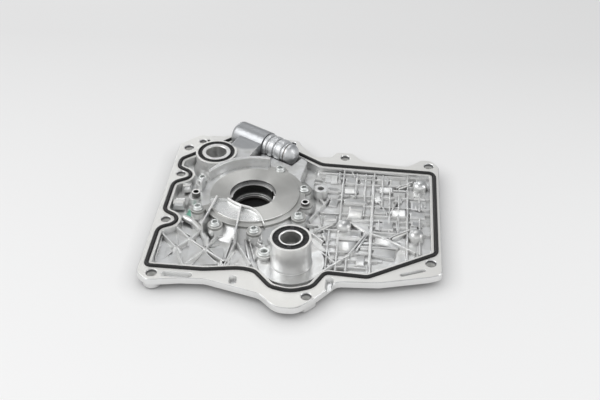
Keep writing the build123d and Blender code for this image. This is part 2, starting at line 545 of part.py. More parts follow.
def valve_spring():
    start = VALVE_BORE_FROM + 0.4 + PISTON_WALL + SPRING_WIRE / 2
    length = BARREL_LENGTH + SLEEVE_LENGTH - 10 - SPRING_WIRE / 2 - start
    path = Helix(pitch=length / SPRING_TURNS, height=length, radius=SPRING_R)
    wire = sweep(Plane(path @ 0, z_dir=path % 0) * RegularPolygon(SPRING_WIRE / 2, 6), path)
    return along_barrel(wire, start)


def valve_sleeve():
    """Turned body screwed into the barrel, with its stepped rings outside."""
    steps = [(12.8, 5), (11.6, 2.5), (12.8, 6), (11.4, 2.5), (12.6, 7), (11.2, 3)]
    points, z = [(VALVE_BORE_R, -SLEEVE_SPIGOT), (VALVE_BORE_R, 0)], 0
    for r, length in steps:
        points += [(r, z), (r, z + length)]
        z += length
    bore = SPRING_R + 1.5
    points += [(bore, z), (bore, -SLEEVE_SPIGOT)]
    return along_barrel(turned(points), BARREL_LENGTH)


def valve_cap():
    r, bore = 11.2, SPRING_R + 1.5
    dome = Pos(0, 0, 1.2) * scale(Sphere(r) & Cylinder(r, 2 * r, align=UP), (1, 1, 0.8))
    spigot = Pos(0, 0, -10) * Cylinder(bore, 11.2, align=UP)
    return along_barrel(dome + spigot, BARREL_LENGTH + SLEEVE_LENGTH)


def cap_washer():
    ring = Circle(10.4) - Circle(SPRING_R + 1.5)
    return along_barrel(extrude(ring, 1.2), BARREL_LENGTH + SLEEVE_LENGTH)


seal_case, seal_lip, seal_spring = crank_seal()
nodes = {
    "cover_casting": cover_casting(),
    "perimeter_gasket": perimeter_gasket(),
    "pump_cover_plate": cover_plate(),
    "cover_screws": at_all(cover_screw(), COVER_SCREWS, DISC_Z - PLATE_EDGE_STEP),
    "gallery_plug": gallery_plug(),
    "dowel_sleeves": at_all(extrude(Circle(DOWEL_R) - Circle(DOWEL_BORE_R), DOWEL_LENGTH), DOWELS,
                            PLATE_Z - DOWEL_LENGTH / 2),
    "inner_rotor": inner_rotor(),
    "outer_rotor": outer_rotor(),
    "crank_seal_case": seal_case,
    "crank_seal_lip": seal_lip,
    "crank_seal_spring": seal_spring,
    "outlet_liner": port_liner(OUTLET),
    "outlet_seal": face_seal(OUTLET, 0),
    "inlet_liner": port_liner(INLET),
    "inlet_seal": face_seal(INLET, 8),
    "relief_piston": valve_piston(),
    "relief_spring": valve_spring(),
    "relief_sleeve": valve_sleeve(),
    "relief_cap": valve_cap(),
    "relief_washer": cap_washer(),
}
for name, shape in nodes.items():
    export_step(shape, f"parts/{name}.step")
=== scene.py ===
import math

import bmesh
import bpy
from mathutils import Matrix, Vector


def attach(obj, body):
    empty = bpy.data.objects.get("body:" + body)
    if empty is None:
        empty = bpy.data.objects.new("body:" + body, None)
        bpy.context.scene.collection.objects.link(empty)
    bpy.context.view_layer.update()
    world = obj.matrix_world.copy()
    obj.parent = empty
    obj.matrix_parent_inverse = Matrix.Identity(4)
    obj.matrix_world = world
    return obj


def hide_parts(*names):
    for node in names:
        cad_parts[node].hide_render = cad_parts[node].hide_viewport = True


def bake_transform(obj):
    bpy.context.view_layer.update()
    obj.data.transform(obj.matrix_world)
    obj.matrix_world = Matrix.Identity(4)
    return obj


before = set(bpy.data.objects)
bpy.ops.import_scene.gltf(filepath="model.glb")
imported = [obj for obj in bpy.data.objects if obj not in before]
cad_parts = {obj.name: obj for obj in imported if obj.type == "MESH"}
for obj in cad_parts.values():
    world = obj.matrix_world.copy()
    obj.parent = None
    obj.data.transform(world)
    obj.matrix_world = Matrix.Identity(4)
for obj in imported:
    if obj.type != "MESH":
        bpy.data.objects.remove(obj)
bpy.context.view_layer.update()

mm = 0.001

print("stage: camera, floor and lamps")

cameraSetup = {"place": (113.9, -725.3, 552.1), "tilt": 53.0, "turn": 5.4, "lens": 57.0, "sensor": 36.0,
               "clip": (0.01, 20.0)}
# the paper's shade runs from near to far, and a painted shadow darkens it in a round patch under the crank bore
floorSetup = {
    "level": -13.05, "size": 8000.0, "near": 0.62, "far": 0.44, "nearEdge": -0.3, "farEdge": 0.35, "bounce": 0.30,
    "contact": 0.022, "patch": (0.022, 0.05), "shadowPatchGlow": 0.02, "shadowPatchBounce": 0.05, "rough": 0.9,
}
lampSetup = {
    "keyPanel": {"place": (-640, -110, 730), "aim": (0, 0, 0), "size": (620, 620), "power": 3.3},
    "streakPanel": {"place": (20, 500, 830), "aim": (0, 0, 0), "size": (200, 420), "power": 0.95},
    "backStrip": {"place": (-420, 860, 230), "aim": (0, 0, 0), "size": (420, 120), "power": 0.8},
    "rightStrip": {"place": (720, -60, 360), "aim": (60, 0, 0), "size": (110, 520), "power": 0.9},
}
# each glow is a soft patch of the surroundings that the metal reflects
worldSetup = {
    "base": (0.25, 0.255, 0.265), "light": (1.0, 1.0, 1.0),
    "glows": {"back": {"toward": (-0.15, 0.78, 0.60), "edge": 0.80, "core": 0.985, "level": 0.60},
              "front": {"toward": (0.0, -0.98, 0.20), "edge": 0.10, "core": 0.90, "level": 1.0},
              "left": {"toward": (-0.95, 0.10, 0.30), "edge": 0.55, "core": 0.95, "level": 0.75},
              "right": {"toward": (0.97, 0.10, 0.25), "edge": 0.75, "core": 0.97, "level": 0.60}},
}


def addObject(name, data):
    obj = bpy.data.objects.new(name, data)
    bpy.context.scene.collection.objects.link(obj)
    return obj


def newMesh(name, points, faces=(), edges=()):
    mesh = bpy.data.meshes.new(name)
    mesh.from_pydata(points, edges, faces)
    return mesh


def addCamera(s):
    data = bpy.data.cameras.new("camera")
    data.lens, data.sensor_width = s["lens"], s["sensor"]
    data.clip_start, data.clip_end = s["clip"]
    camera = addObject("camera", data)
    camera.location = Vector(s["place"]) * mm
    camera.rotation_euler = (math.radians(s["tilt"]), 0, math.radians(s["turn"]))
    bpy.context.scene.camera = camera


def addLamp(name, s):
    data = bpy.data.lights.new(name, "AREA")
    data.shape, data.energy = "RECTANGLE", s["power"]
    data.size, data.size_y = s["size"][0] * mm, s["size"][1] * mm
    lamp = addObject(name, data)
    lamp.location = Vector(s["place"]) * mm
    lamp.rotation_euler = (Vector(s["aim"]) - Vector(s["place"])).to_track_quat("-Z", "Y").to_euler()


def fillSocket(tree, socket, value):
    if isinstance(value, bpy.types.NodeSocket):
        tree.links.new(value, socket)
    else:
        socket.default_value = value


def addNode(tree, kind, inputs=None, **settings):
    made = tree.nodes.new(kind)
    for key, value in settings.items():
        setattr(made, key, value)
    for key, value in (inputs or {}).items():
        fillSocket(tree, made.inputs[key], value)
    return made


def newMaterial(name):
    material = bpy.data.materials.new(name)
    material.use_nodes = True
    return material, material.node_tree, material.node_tree.nodes["Principled BSDF"]


def newGroup(name, inputs, outputs, kind="ShaderNodeTree"):
    tree = bpy.data.node_groups.new(name, kind)
    for label, socketType, value in inputs:
        made = tree.interface.new_socket(label, in_out="INPUT", socket_type=socketType)
        if value is not None:
            made.default_value = value
    for label, socketType in outputs:
        tree.interface.new_socket(label, in_out="OUTPUT", socket_type=socketType)
    return tree, addNode(tree, "NodeGroupInput").outputs, addNode(tree, "NodeGroupOutput").inputs


def useGroup(tree, group, **inputs):
    return addNode(tree, "ShaderNodeGroup", inputs, node_tree=group).outputs


def calc(tree, operation, a, b=0.5, clamp=False):
    return addNode(tree, "ShaderNodeMath", {0: a, 1: b}, operation=operation, use_clamp=clamp).outputs[0]


def times(tree, a, b):
    return calc(tree, "MULTIPLY", a, b)


def plus(tree, a, b):
    return calc(tree, "ADD", a, b)


def near(tree, a, b, within):
    inputs = {0: a, 1: b, 2: within}
    return addNode(tree, "ShaderNodeMath", inputs, operation="COMPARE").outputs[0]


def vectorCalc(tree, operation, a, b=(0, 0, 0), result="Vector"):
    return addNode(tree, "ShaderNodeVectorMath", {0: a, 1: b}, operation=operation).outputs[result]


def spread(tree, value, low, high, toLow=0.0, toHigh=1.0):
    return addNode(tree, "ShaderNodeMapRange", {"Value": value, "From Min": low, "From Max": high,
                                                "To Min": toLow, "To Max": toHigh}).outputs["Result"]


def grey(tree, level):
    return addNode(tree, "ShaderNodeCombineColor", {0: level, 1: level, 2: level}).outputs[0]


def mixColor(tree, factor, a, b):
    made = addNode(tree, "ShaderNodeMix", data_type="RGBA")
    a, b = (v if isinstance(v, bpy.types.NodeSocket) else (*v, 1) for v in (a, b))
    # a mix node keeps its factor and its two colours in these sockets
    for place, value in ((0, factor), (6, a), (7, b)):
        fillSocket(tree, made.inputs[place], value)
    return made.outputs[2]


def tint(tree, colour, target, mask, amount):
    return mixColor(tree, times(tree, mask, amount), colour, target)


def noise(tree, place, scale, detail=3.0, rough=0.55, distortion=0.0):
    return addNode(tree, "ShaderNodeTexNoise", {"Vector": place, "Scale": scale, "Detail": detail,
                                                "Roughness": rough, "Distortion": distortion}).outputs["Fac"]


def bump(tree, height, distance, normal, strength=1.0):
    return addNode(tree, "ShaderNodeBump", {"Height": height, "Distance": distance, "Strength": strength,
                                            "Normal": normal}).outputs["Normal"]


def objectPlace(tree):
    return addNode(tree, "ShaderNodeTexCoord").outputs["Object"]


def levelled(tree, where):
    return vectorCalc(tree, "MULTIPLY", where, (1, 1, 0))


def heightOf(tree, where):
    return addNode(tree, "ShaderNodeSeparateXYZ", {0: where}).outputs["Z"]


def facesUp(tree):
    normal = addNode(tree, "ShaderNodeNewGeometry").outputs["Normal"]
    return vectorCalc(tree, "DOT_PRODUCT", normal, (0, 0, 1), "Value")


def addFloor(s):
    half = s["size"] * mm / 2
    corners = [(-half, -half), (half, -half), (half, half), (-half, half)]
    mesh = newMesh("floor", [(x, y, s["level"] * mm) for x, y in corners], [(0, 1, 2, 3)])
    floor = addObject("floor", mesh)
    material, tree, bsdf = newMaterial("palePaper")
    where = objectPlace(tree)
    along = addNode(tree, "ShaderNodeSeparateXYZ", {0: where}).outputs["Y"]
    shade = spread(tree, along, s["nearEdge"], s["farEdge"], s["near"], s["far"])
    rays = addNode(tree, "ShaderNodeLightPath").outputs
    seen = calc(tree, "MAXIMUM", rays["Is Glossy Ray"], rays["Is Transmission Ray"])
    seen = calc(tree, "MAXIMUM", rays["Is Camera Ray"], seen)
    # painted contact shadow: the glow fades where the object stands close; the glow and the bounce also drop in a
    # painted shadow patch under the crank bore
    clear = addNode(tree, "ShaderNodeAmbientOcclusion", {"Distance": s["contact"]}, samples=8).outputs["AO"]
    away = vectorCalc(tree, "LENGTH", levelled(tree, where), result="Value")
    clear = times(tree, clear, spread(tree, away, *s["patch"], s["shadowPatchGlow"], 1.0))
    bounce = times(tree, spread(tree, away, *s["patch"], s["shadowPatchBounce"], 1.0), s["bounce"])
    tree.links.new(grey(tree, bounce), bsdf.inputs["Base Color"])
    tree.links.new(grey(tree, shade), bsdf.inputs["Emission Color"])
    tree.links.new(times(tree, seen, clear), bsdf.inputs["Emission Strength"])
    bsdf.inputs["Roughness"].default_value = s["rough"]
    bsdf.inputs["Specular IOR Level"].default_value = 0.0
    mesh.materials.append(material)


def addWorld(s):
    world = bpy.data.worlds.new("studio")
    world.use_nodes = True
    tree = world.node_tree
    where = addNode(tree, "ShaderNodeTexCoord").outputs["Generated"]
    level = 0.0
    for glow in s["glows"].values():
        aligned = vectorCalc(tree, "DOT_PRODUCT", where, Vector(glow["toward"]).normalized(), "Value")
        level = plus(tree, spread(tree, aligned, glow["edge"], glow["core"], 0.0, glow["level"]), level)
    sky = mixColor(tree, level, s["base"], s["light"])
    tree.links.new(sky, tree.nodes["Background"].inputs["Color"])
    bpy.context.scene.world = world


addCamera(cameraSetup)
for lampName, lampValues in lampSetup.items():
    addLamp(lampName, lampValues)
addFloor(floorSetup)
addWorld(worldSetup)
bpy.context.scene.view_settings.view_transform = "Standard"

print("stage: shared surface effects")

# cosines between true and rounded normal at which an edge starts and is at its brightest
softEdgeCosines = (0.995, 0.86)


def buildSoftEdge():
    tree, given, result = newGroup("softEdge", [("Radius", "NodeSocketFloat", 0.0006)],
                                   [("Normal", "NodeSocketVector"), ("Edge", "NodeSocketFloat")])
    rounded = addNode(tree, "ShaderNodeBevel", {"Radius": given["Radius"]}, samples=4).outputs["Normal"]
    flat = addNode(tree, "ShaderNodeNewGeometry").outputs["Normal"]
    turned = vectorCalc(tree, "DOT_PRODUCT", rounded, flat, "Value")
    tree.links.new(rounded, result["Normal"])
    tree.links.new(spread(tree, turned, *softEdgeCosines), result["Edge"])
    return tree


def buildRecess():
    tree, given, result = newGroup("recess", [("Reach", "NodeSocketFloat", 0.006)],
                                   [("Open", "NodeSocketFloat")])
    reach = addNode(tree, "ShaderNodeAmbientOcclusion", {"Distance": given["Reach"]}, samples=6).outputs["AO"]
    tree.links.new(reach, result["Open"])
    return tree


skinForm = {"peelScale": 0.22, "peelWeight": 1.6, "fleckScale": 420.0, "fleckSize": (0.16, 0.04)}


def buildCastSkin(s):
    # fine grain over a coarser orange peel, broad clouds, and small dark flecks
    tree, given, result = newGroup(
        "castSkin", [("Grain", "NodeSocketFloat", 1500.0), ("Flow", "NodeSocketFloat", 60.0)],
        [("Height", "NodeSocketFloat"), ("Cloud", "NodeSocketFloat"), ("Fleck", "NodeSocketFloat")])
    where = objectPlace(tree)
    grain = noise(tree, where, given["Grain"], 2.0, 0.6)
    orangePeel = noise(tree, where, times(tree, given["Grain"], s["peelScale"]), 2.0, 0.5)
    flow = noise(tree, where, given["Flow"], 4.0, 0.6, 0.6)
    fleck = addNode(tree, "ShaderNodeTexVoronoi", {"Vector": where, "Scale": s["fleckScale"]}).outputs["Distance"]
    tree.links.new(plus(tree, grain, times(tree, orangePeel, s["peelWeight"])), result["Height"])
    tree.links.new(flow, result["Cloud"])
    tree.links.new(spread(tree, fleck, *s["fleckSize"]), result["Fleck"])
    return tree


def buildTurnedRings():
    tree, given, result = newGroup(
        "turnedRings", [("Centre", "NodeSocketVector", (0, 0, 0)), ("Pitch", "NodeSocketFloat", 0.0008)],
        [("Height", "NodeSocketFloat"), ("Tangent", "NodeSocketVector"), ("Radius", "NodeSocketFloat")])
    where = objectPlace(tree)
    arm = levelled(tree, vectorCalc(tree, "SUBTRACT", where, given["Centre"]))
    radius = vectorCalc(tree, "LENGTH", arm, result="Value")
    wobble = times(tree, noise(tree, where, 90.0, 2.0), 0.0012)
    turns = calc(tree, "DIVIDE", plus(tree, radius, wobble), given["Pitch"])
    groove = calc(tree, "SINE", times(tree, turns, 6.28318))
    tree.links.new(groove, result["Height"])
    # highlights spread across the turned grooves, so the tangent points away from the centre
    tree.links.new(vectorCalc(tree, "NORMALIZE", arm), result["Tangent"])
    tree.links.new(radius, result["Radius"])
    return tree


def buildMachinedFace():
    # flat faces that a cutter has skimmed: square to Z and at one of the given heights
    tree, given, result = newGroup(
        "machinedFace", [("Height", "NodeSocketFloat", 0.0), ("Band", "NodeSocketFloat", 0.0002)],
        [("Mask", "NodeSocketFloat")])
    level = near(tree, heightOf(tree, objectPlace(tree)), given["Height"], given["Band"])
    flat = calc(tree, "GREATER_THAN", facesUp(tree), 0.995)
    tree.links.new(times(tree, level, flat), result["Mask"])
    return tree


softEdge = buildSoftEdge()
recess = buildRecess()
castSkin = buildCastSkin(skinForm)
turnedRings = buildTurnedRings()
machinedFace = buildMachinedFace()

print("stage: finishes")

castingFinish = {
    "metal": (0.68, 0.69, 0.695), "milled": (0.73, 0.725, 0.70), "stain": (0.50, 0.50, 0.485),
    "deep": (0.14, 0.14, 0.145), "wearAndHighlight": (0.92, 0.92, 0.91), "metallic": 0.84,
    "roughCast": 0.31, "roughMilled": 0.44, "roughCloud": 0.16, "edge": 0.0009, "bump": 0.001,
    "grain": 0.04, "flow": 0.50, "wall": 0.85, "fleck": 0.12,
    "nearReach": 0.004, "nearShade": 0.5, "wideReach": 0.016, "wideShade": 0.3,
    # heights of the milled faces, and the large cutter's centre and feed lines
    "faces": (0.0, 0.012, 0.026, 0.002, -0.002), "milledMatte": 0.30,
    "cutter": (0.46, 0.62, 0), "cutterPitch": 0.0016, "cutterDepth": 0.08,
    # bolt holes as x, y and radius
    "holes": [(-78.5, 84.0, 4.5), (-66.0, 97.0, 3.4), (-78.0, 37.0, 4.2), (-78.0, -37.0, 4.2), (-75.0, -113.0, 4.5),
              (63.0, -131.0, 4.2), (169.5, -78.0, 4.5), (169.5, 73.0, 4.5), (84.5, 80.0, 4.2), (28.5, 101.0, 3.2)],
    "holeMargin": 0.15, "holeShadeRing": (-0.0042, -0.0022), "holeLight": (0.92, 0.92, 0.90), "holeLightMatte": 0.75,
    "barrel": (-0.0125, 0.0950), "barrelReach": 0.0270, "barrelFoot": (0.002, 0.004), "barrelShade": 0.75,
    "barrelColor": (0.30, 0.31, 0.325),
    "paint": (0.12, 0.42, 0.30), "paintSpot": (-0.0600, -0.0195, -0.004), "paintReach": 0.0075,
    "paintRagged": 0.008, "paintCover": 0.85, "paintMatte": 0.9,
}


def makeCasting(s):
    material, tree, bsdf = newMaterial("castAluminium")
    skin = useGroup(tree, castSkin)
    edge = useGroup(tree, softEdge, Radius=s["edge"])
    close, wide = (useGroup(tree, recess, Reach=s[key])["Open"] for key in ("nearReach", "wideReach"))
    masks = [useGroup(tree, machinedFace, Height=z)["Mask"] for z in s["faces"]]
    milled = masks[0]
    for mask in masks[1:]:
        milled = calc(tree, "MAXIMUM", milled, mask)
    where = objectPlace(tree)
    flat, height = levelled(tree, where), heightOf(tree, where)
    colour = mixColor(tree, spread(tree, skin["Cloud"], 0.35, 0.75), s["metal"], s["stain"])
    # painted light: upright faces are painted paler, towards the pale edge colour, standing in for the light that
    # falls on their sides
    wall = spread(tree, calc(tree, "ABSOLUTE", facesUp(tree)), 0.7, 0.25)
    colour = tint(tree, colour, s["wearAndHighlight"], wall, s["wall"])
    patches = spread(tree, noise(tree, where, 25.0), 0.3, 0.7)
    colour = mixColor(tree, milled, colour, tint(tree, s["milled"], s["metal"], patches, 0.25))
    colour = tint(tree, colour, s["deep"], spread(tree, close, 0.75, 0.2), s["nearShade"])
    colour = tint(tree, colour, s["deep"], spread(tree, wide, 0.5, 0.05), s["wideShade"])
    # painted highlight and wear: edges are paled, less so in recesses
    edgeWearAndHighlight = spread(tree, close, 0.35, 0.7, 0.0, 0.75)
    colour = tint(tree, colour, s["wearAndHighlight"], edge["Edge"], edgeWearAndHighlight)
    colour = tint(tree, colour, s["deep"], skin["Fleck"], s["fleck"])
    # painted light: the bolt holes' walls are painted pale and matte, standing in for the bright floor seen through
    # them, with a painted shadow as a dark ring just under the flange's face
    holeLight = 0.0
    for x, y, r in s["holes"]:
        gap = vectorCalc(tree, "DISTANCE", flat, (x * mm, y * mm, 0), "Value")
        holeLight = calc(tree, "MAXIMUM", calc(tree, "LESS_THAN", gap, (r + s["holeMargin"]) * mm), holeLight)
    colour = mixColor(tree, holeLight, colour, s["holeLight"])
    colour = tint(tree, colour, s["deep"], holeLight, spread(tree, height, *s["holeShadeRing"]))
    # the valve barrel and its saddle are a darker grey
    gap = vectorCalc(tree, "DISTANCE", flat, (*s["barrel"], 0), "Value")
    inside = spread(tree, gap, s["barrelReach"] + 0.002, s["barrelReach"] - 0.001)
    above = spread(tree, height, *s["barrelFoot"], 0.0, s["barrelShade"])
    colour = tint(tree, colour, s["barrelColor"], inside, above)
    # a ragged dab of inspection paint
    gap = vectorCalc(tree, "DISTANCE", where, s["paintSpot"], "Value")
    ragged = plus(tree, gap, times(tree, noise(tree, where, 260.0, 3.0), s["paintRagged"]))
    dab = spread(tree, ragged, s["paintReach"] + 0.004, s["paintReach"] + 0.001)
    paint = times(tree, dab, s["paintCover"])
    tree.links.new(mixColor(tree, paint, colour, s["paint"]), bsdf.inputs["Base Color"])
    matte = calc(tree, "MAXIMUM", times(tree, milled, s["milledMatte"]), times(tree, holeLight, s["holeLightMatte"]))
    matte = plus(tree, matte, times(tree, paint, s["paintMatte"]))
    tree.links.new(calc(tree, "SUBTRACT", s["metallic"], matte, clamp=True), bsdf.inputs["Metallic"])
    rough = plus(tree, s["roughCast"] - 0.06, times(tree, skin["Cloud"], s["roughCloud"]))
    rough = plus(tree, rough, times(tree, milled, s["roughMilled"] - s["roughCast"]))
    tree.links.new(rough, bsdf.inputs["Roughness"])
    # milled faces keep a quarter of the grain and none of the waves
    cutter = useGroup(tree, turnedRings, Centre=s["cutter"], Pitch=s["cutterPitch"])
    grain = times(tree, skin["Height"], spread(tree, milled, 0, 1, 1.0, 0.25))
    lines = times(tree, times(tree, cutter["Height"], milled), s["cutterDepth"])
    waves = times(tree, skin["Cloud"], spread(tree, milled, 0, 1, s["flow"], 0.0))
    relief = plus(tree, times(tree, plus(tree, grain, lines), s["grain"]), waves)
    tree.links.new(bump(tree, relief, s["bump"], edge["Normal"]), bsdf.inputs["Normal"])
    return material


plateFinish = {
    "metal": (0.40, 0.40, 0.385), "wearAndHighlight": (0.86, 0.86, 0.84), "deep": (0.08, 0.08, 0.08), "metallic": 0.9,
    "rough": 0.31, "roughCloud": 0.14, "anisotropic": 0.92, "edge": 0.0008, "pitch": 0.0007, "bump": 0.000012,
    "grain": 1900.0, "flow": 45.0, "cloud": 0.4, "grooveShade": 0.10, "reach": 0.004, "recessShade": 0.5,
    "edgeShine": 0.7,
    # the bore's radius, the height above which vane crests shine, and the lowered field's top and radius
    "bore": 0.02215, "boreShade": 0.85, "crest": 0.0083, "crestHighlight": (0.92, 0.92, 0.91), "crestHighlightMatte": 0.35,
    "field": 0.0070, "fieldRadius": 0.0428, "fieldColor": (0.86, 0.87, 0.87), "fieldShine": 0.8, "fieldGloss": 0.10,
}


def makePlate(s):
    material, tree, bsdf = newMaterial("machinedPlate")
    rings = useGroup(tree, turnedRings, Centre=(0, 0, 0), Pitch=s["pitch"])
    skin = useGroup(tree, castSkin, Grain=s["grain"], Flow=s["flow"])
    edge = useGroup(tree, softEdge, Radius=s["edge"])
    close = useGroup(tree, recess, Reach=s["reach"])["Open"]
    colour = tint(tree, s["metal"], s["wearAndHighlight"], skin["Cloud"], s["cloud"])
    colour = tint(tree, colour, s["deep"], spread(tree, rings["Height"], -1, 1), s["grooveShade"])
    colour = tint(tree, colour, s["deep"], spread(tree, close, 0.7, 0.2), s["recessShade"])
    # painted highlight and wear: edges are paled
    colour = tint(tree, colour, s["wearAndHighlight"], edge["Edge"], s["edgeShine"])
    # the lowered field is left as cast and shines, and the vane crests are painted bright as a painted highlight
    z = heightOf(tree, objectPlace(tree))
    field = times(tree, calc(tree, "LESS_THAN", z, s["field"]),
                  calc(tree, "LESS_THAN", rings["Radius"], s["fieldRadius"]))
    crest = calc(tree, "GREATER_THAN", z, s["crest"])
    colour = tint(tree, colour, s["fieldColor"], field, s["fieldShine"])
    colour = mixColor(tree, crest, colour, s["crestHighlight"])
    colour = tint(tree, colour, s["deep"], calc(tree, "LESS_THAN", rings["Radius"], s["bore"]), s["boreShade"])
    tree.links.new(colour, bsdf.inputs["Base Color"])
    metallic = calc(tree, "SUBTRACT", s["metallic"], times(tree, crest, s["crestHighlightMatte"]))
    tree.links.new(metallic, bsdf.inputs["Metallic"])
    rough = plus(tree, s["rough"], times(tree, skin["Cloud"], s["roughCloud"]))
    rough = calc(tree, "SUBTRACT", rough, times(tree, field, s["fieldGloss"]))
    tree.links.new(rough, bsdf.inputs["Roughness"])
    bsdf.inputs["Anisotropic"].default_value = s["anisotropic"]
    tree.links.new(rings["Tangent"], bsdf.inputs["Tangent"])
    relief = plus(tree, times(tree, rings["Height"], 0.5), skin["Height"])
    tree.links.new(bump(tree, relief, s["bump"], edge["Normal"]), bsdf.inputs["Normal"])
    return material


rubberFinish = {"color": (0.006, 0.006, 0.0065), "dusty": (0.030, 0.030, 0.031), "rough": 0.50, "roughBloom": 0.15,
                "bloomScale": 140.0, "bloom": 0.4, "edgeDust": 0.5, "grainScale": 2600.0, "grain": 0.00004,
                "edge": 0.0004}


def makeRubber(name, s):
    material, tree, bsdf = newMaterial(name)
    where = objectPlace(tree)
    edge = useGroup(tree, softEdge, Radius=s["edge"])
    bloom = spread(tree, noise(tree, where, s["bloomScale"], 4.0), 0.45, 0.8)
    colour = tint(tree, s["color"], s["dusty"], bloom, s["bloom"])
    colour = tint(tree, colour, s["dusty"], edge["Edge"], s["edgeDust"])
    tree.links.new(colour, bsdf.inputs["Base Color"])
    tree.links.new(plus(tree, s["rough"], times(tree, bloom, s["roughBloom"])), bsdf.inputs["Roughness"])
    grain = noise(tree, where, s["grainScale"], 2.0)
    tree.links.new(bump(tree, grain, s["grain"], edge["Normal"], 0.6), bsdf.inputs["Normal"])
    return material


steelSkin = {"grain": 2400.0, "flow": 120.0, "reach": 0.003, "stain": 0.5, "recessShade": 0.7, "recessDepth": 0.3,
             "wearAndHighlight": (0.85, 0.85, 0.84), "edgeShine": 0.5, "roughCloud": 0.2, "bump": 0.00001, "upward": (0.9, 0.98)}
metalFinishes = {
    "zincSteel": {"color": (0.78, 0.80, 0.79), "dark": (0.45, 0.47, 0.46), "rough": 0.32, "edge": 0.0005},
    "sinteredSteel": {"color": (0.16, 0.16, 0.155), "dark": (0.06, 0.06, 0.06), "rough": 0.36, "edge": 0.0007,
                      "face": (0.80, 0.80, 0.79)},
    "tinnedCopper": {"color": (0.46, 0.41, 0.37), "dark": (0.26, 0.22, 0.19), "rough": 0.38, "edge": 0.0003},
    "springSteel": {"color": (0.50, 0.50, 0.49), "dark": (0.20, 0.20, 0.20), "rough": 0.28, "edge": 0.0002},
    "turnedSteel": {"color": (0.62, 0.63, 0.64), "dark": (0.38, 0.39, 0.40), "rough": 0.40, "edge": 0.0008},
    "castSleeve": {"color": (0.62, 0.63, 0.64), "dark": (0.38, 0.39, 0.40), "rough": 0.40, "edge": 0.0008},
    "brightRing": {"color": (0.80, 0.80, 0.79), "dark": (0.45, 0.45, 0.44), "rough": 0.30, "edge": 0.0005},
}


def makeMetal(name, s):
    material, tree, bsdf = newMaterial(name)
    skin = useGroup(tree, castSkin, Grain=s["grain"], Flow=s["flow"])
    edge = useGroup(tree, softEdge, Radius=s["edge"])
    close = useGroup(tree, recess, Reach=s["reach"])["Open"]
    colour = tint(tree, s["color"], s["dark"], spread(tree, skin["Cloud"], 0.4, 0.8), s["stain"])
    crevice = tuple(c * s["recessDepth"] for c in s["dark"])
    colour = tint(tree, colour, crevice, spread(tree, close, 0.8, 0.2), s["recessShade"])
    # painted highlight and wear: edges are paled
    colour = tint(tree, colour, s["wearAndHighlight"], edge["Edge"], s["edgeShine"])
    # "face" is the colour of ground ends that look up
    if "face" in s:
        colour = mixColor(tree, spread(tree, facesUp(tree), *s["upward"]), colour, s["face"])
    tree.links.new(colour, bsdf.inputs["Base Color"])
    bsdf.inputs["Metallic"].default_value = 1.0
    rough = plus(tree, s["rough"] - 0.05, times(tree, skin["Cloud"], s["roughCloud"]))
    tree.links.new(rough, bsdf.inputs["Roughness"])
    tree.links.new(bump(tree, skin["Height"], s["bump"], edge["Normal"]), bsdf.inputs["Normal"])
    return material


madeFinish = {
    "castAluminium": makeCasting(castingFinish), "machinedPlate": makePlate(plateFinish),
    "blackElastomer": makeRubber("blackElastomer", rubberFinish),
    "darkRubber": makeRubber("darkRubber", {**rubberFinish, "color": (0.022, 0.019, 0.017), "rough": 0.36}),
    **{name: makeMetal(name, {**steelSkin, **values}) for name, values in metalFinishes.items()},
}
nodeFinish = {
    "cover_casting": "castAluminium", "perimeter_gasket": "blackElastomer", "pump_cover_plate": "machinedPlate",
    "cover_screws": "zincSteel", "gallery_plug": "zincSteel", "dowel_sleeves": "sinteredSteel",
    "inner_rotor": "sinteredSteel", "outer_rotor": "sinteredSteel", "crank_seal_case": "turnedSteel",
    "crank_seal_lip": "darkRubber", "crank_seal_spring": "springSteel", "outlet_liner": "brightRing",
    "outlet_seal": "blackElastomer", "inlet_liner": "brightRing", "inlet_seal": "blackElastomer",
    "relief_piston": "zincSteel", "relief_spring": "springSteel", "relief_sleeve": "turnedSteel",
    "relief_cap": "turnedSteel", "relief_washer": "tinnedCopper",
}
for name, finish in nodeFinish.items():
    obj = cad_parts[name]
    obj.data.materials.clear()
    obj.data.materials.append(madeFinish[finish])

print("stage: shared geometry trees")


def outlineObject(name, points, closed=True, corners=None):
    # points are in millimetres, and corners are the radii that round them
    last = len(points) if closed else len(points) - 1
    edges = [(i, (i + 1) % len(points)) for i in range(last)]
    mesh = newMesh(name, [tuple(c * mm for c in p) for p in points], edges=edges)
    if corners:
        radii = mesh.attributes.new("cornerRadius", "FLOAT", "POINT")
        radii.data.foreach_set("value", [r * mm for r in corners])
    return addObject(name, mesh)


def sectionObject(name, points):
    # a sweep lays the section's own Y downwards, so heights change sign here
    return outlineObject(name, [(across, -up, 0) for across, up in points])


def roundSection(name, radius, sides):
    turns = [2 * math.pi * i / sides for i in range(sides)]
    return sectionObject(name, [(radius * math.cos(t), radius * math.sin(t)) for t in turns])


def corneredLine(name, points, closed=True):
    # points are x, y and the radius that rounds the corner
    return outlineObject(name, [(x, y, 0) for x, y, _ in points], closed, [r for _, _, r in points])


def circlePath(name, centre, radius, count=96):
    turns = [2 * math.pi * i / count for i in range(count)]
    return outlineObject(name, [(centre[0] + radius * math.cos(t), centre[1] + radius * math.sin(t), centre[2])
                                for t in turns])


def newGeometryTree(name, inputs):
    given = [("Geometry", "NodeSocketGeometry", None)] + inputs
    return newGroup(name, given, [("Geometry", "NodeSocketGeometry")], "GeometryNodeTree")


def finishTree(tree, shape, material, result):
    whole = addNode(tree, "GeometryNodeRealizeInstances", {0: shape}).outputs[0]
    tree.links.new(addNode(tree, "GeometryNodeSetMaterial", {"Geometry": whole, "Material": material}).outputs[0],
                   result["Geometry"])


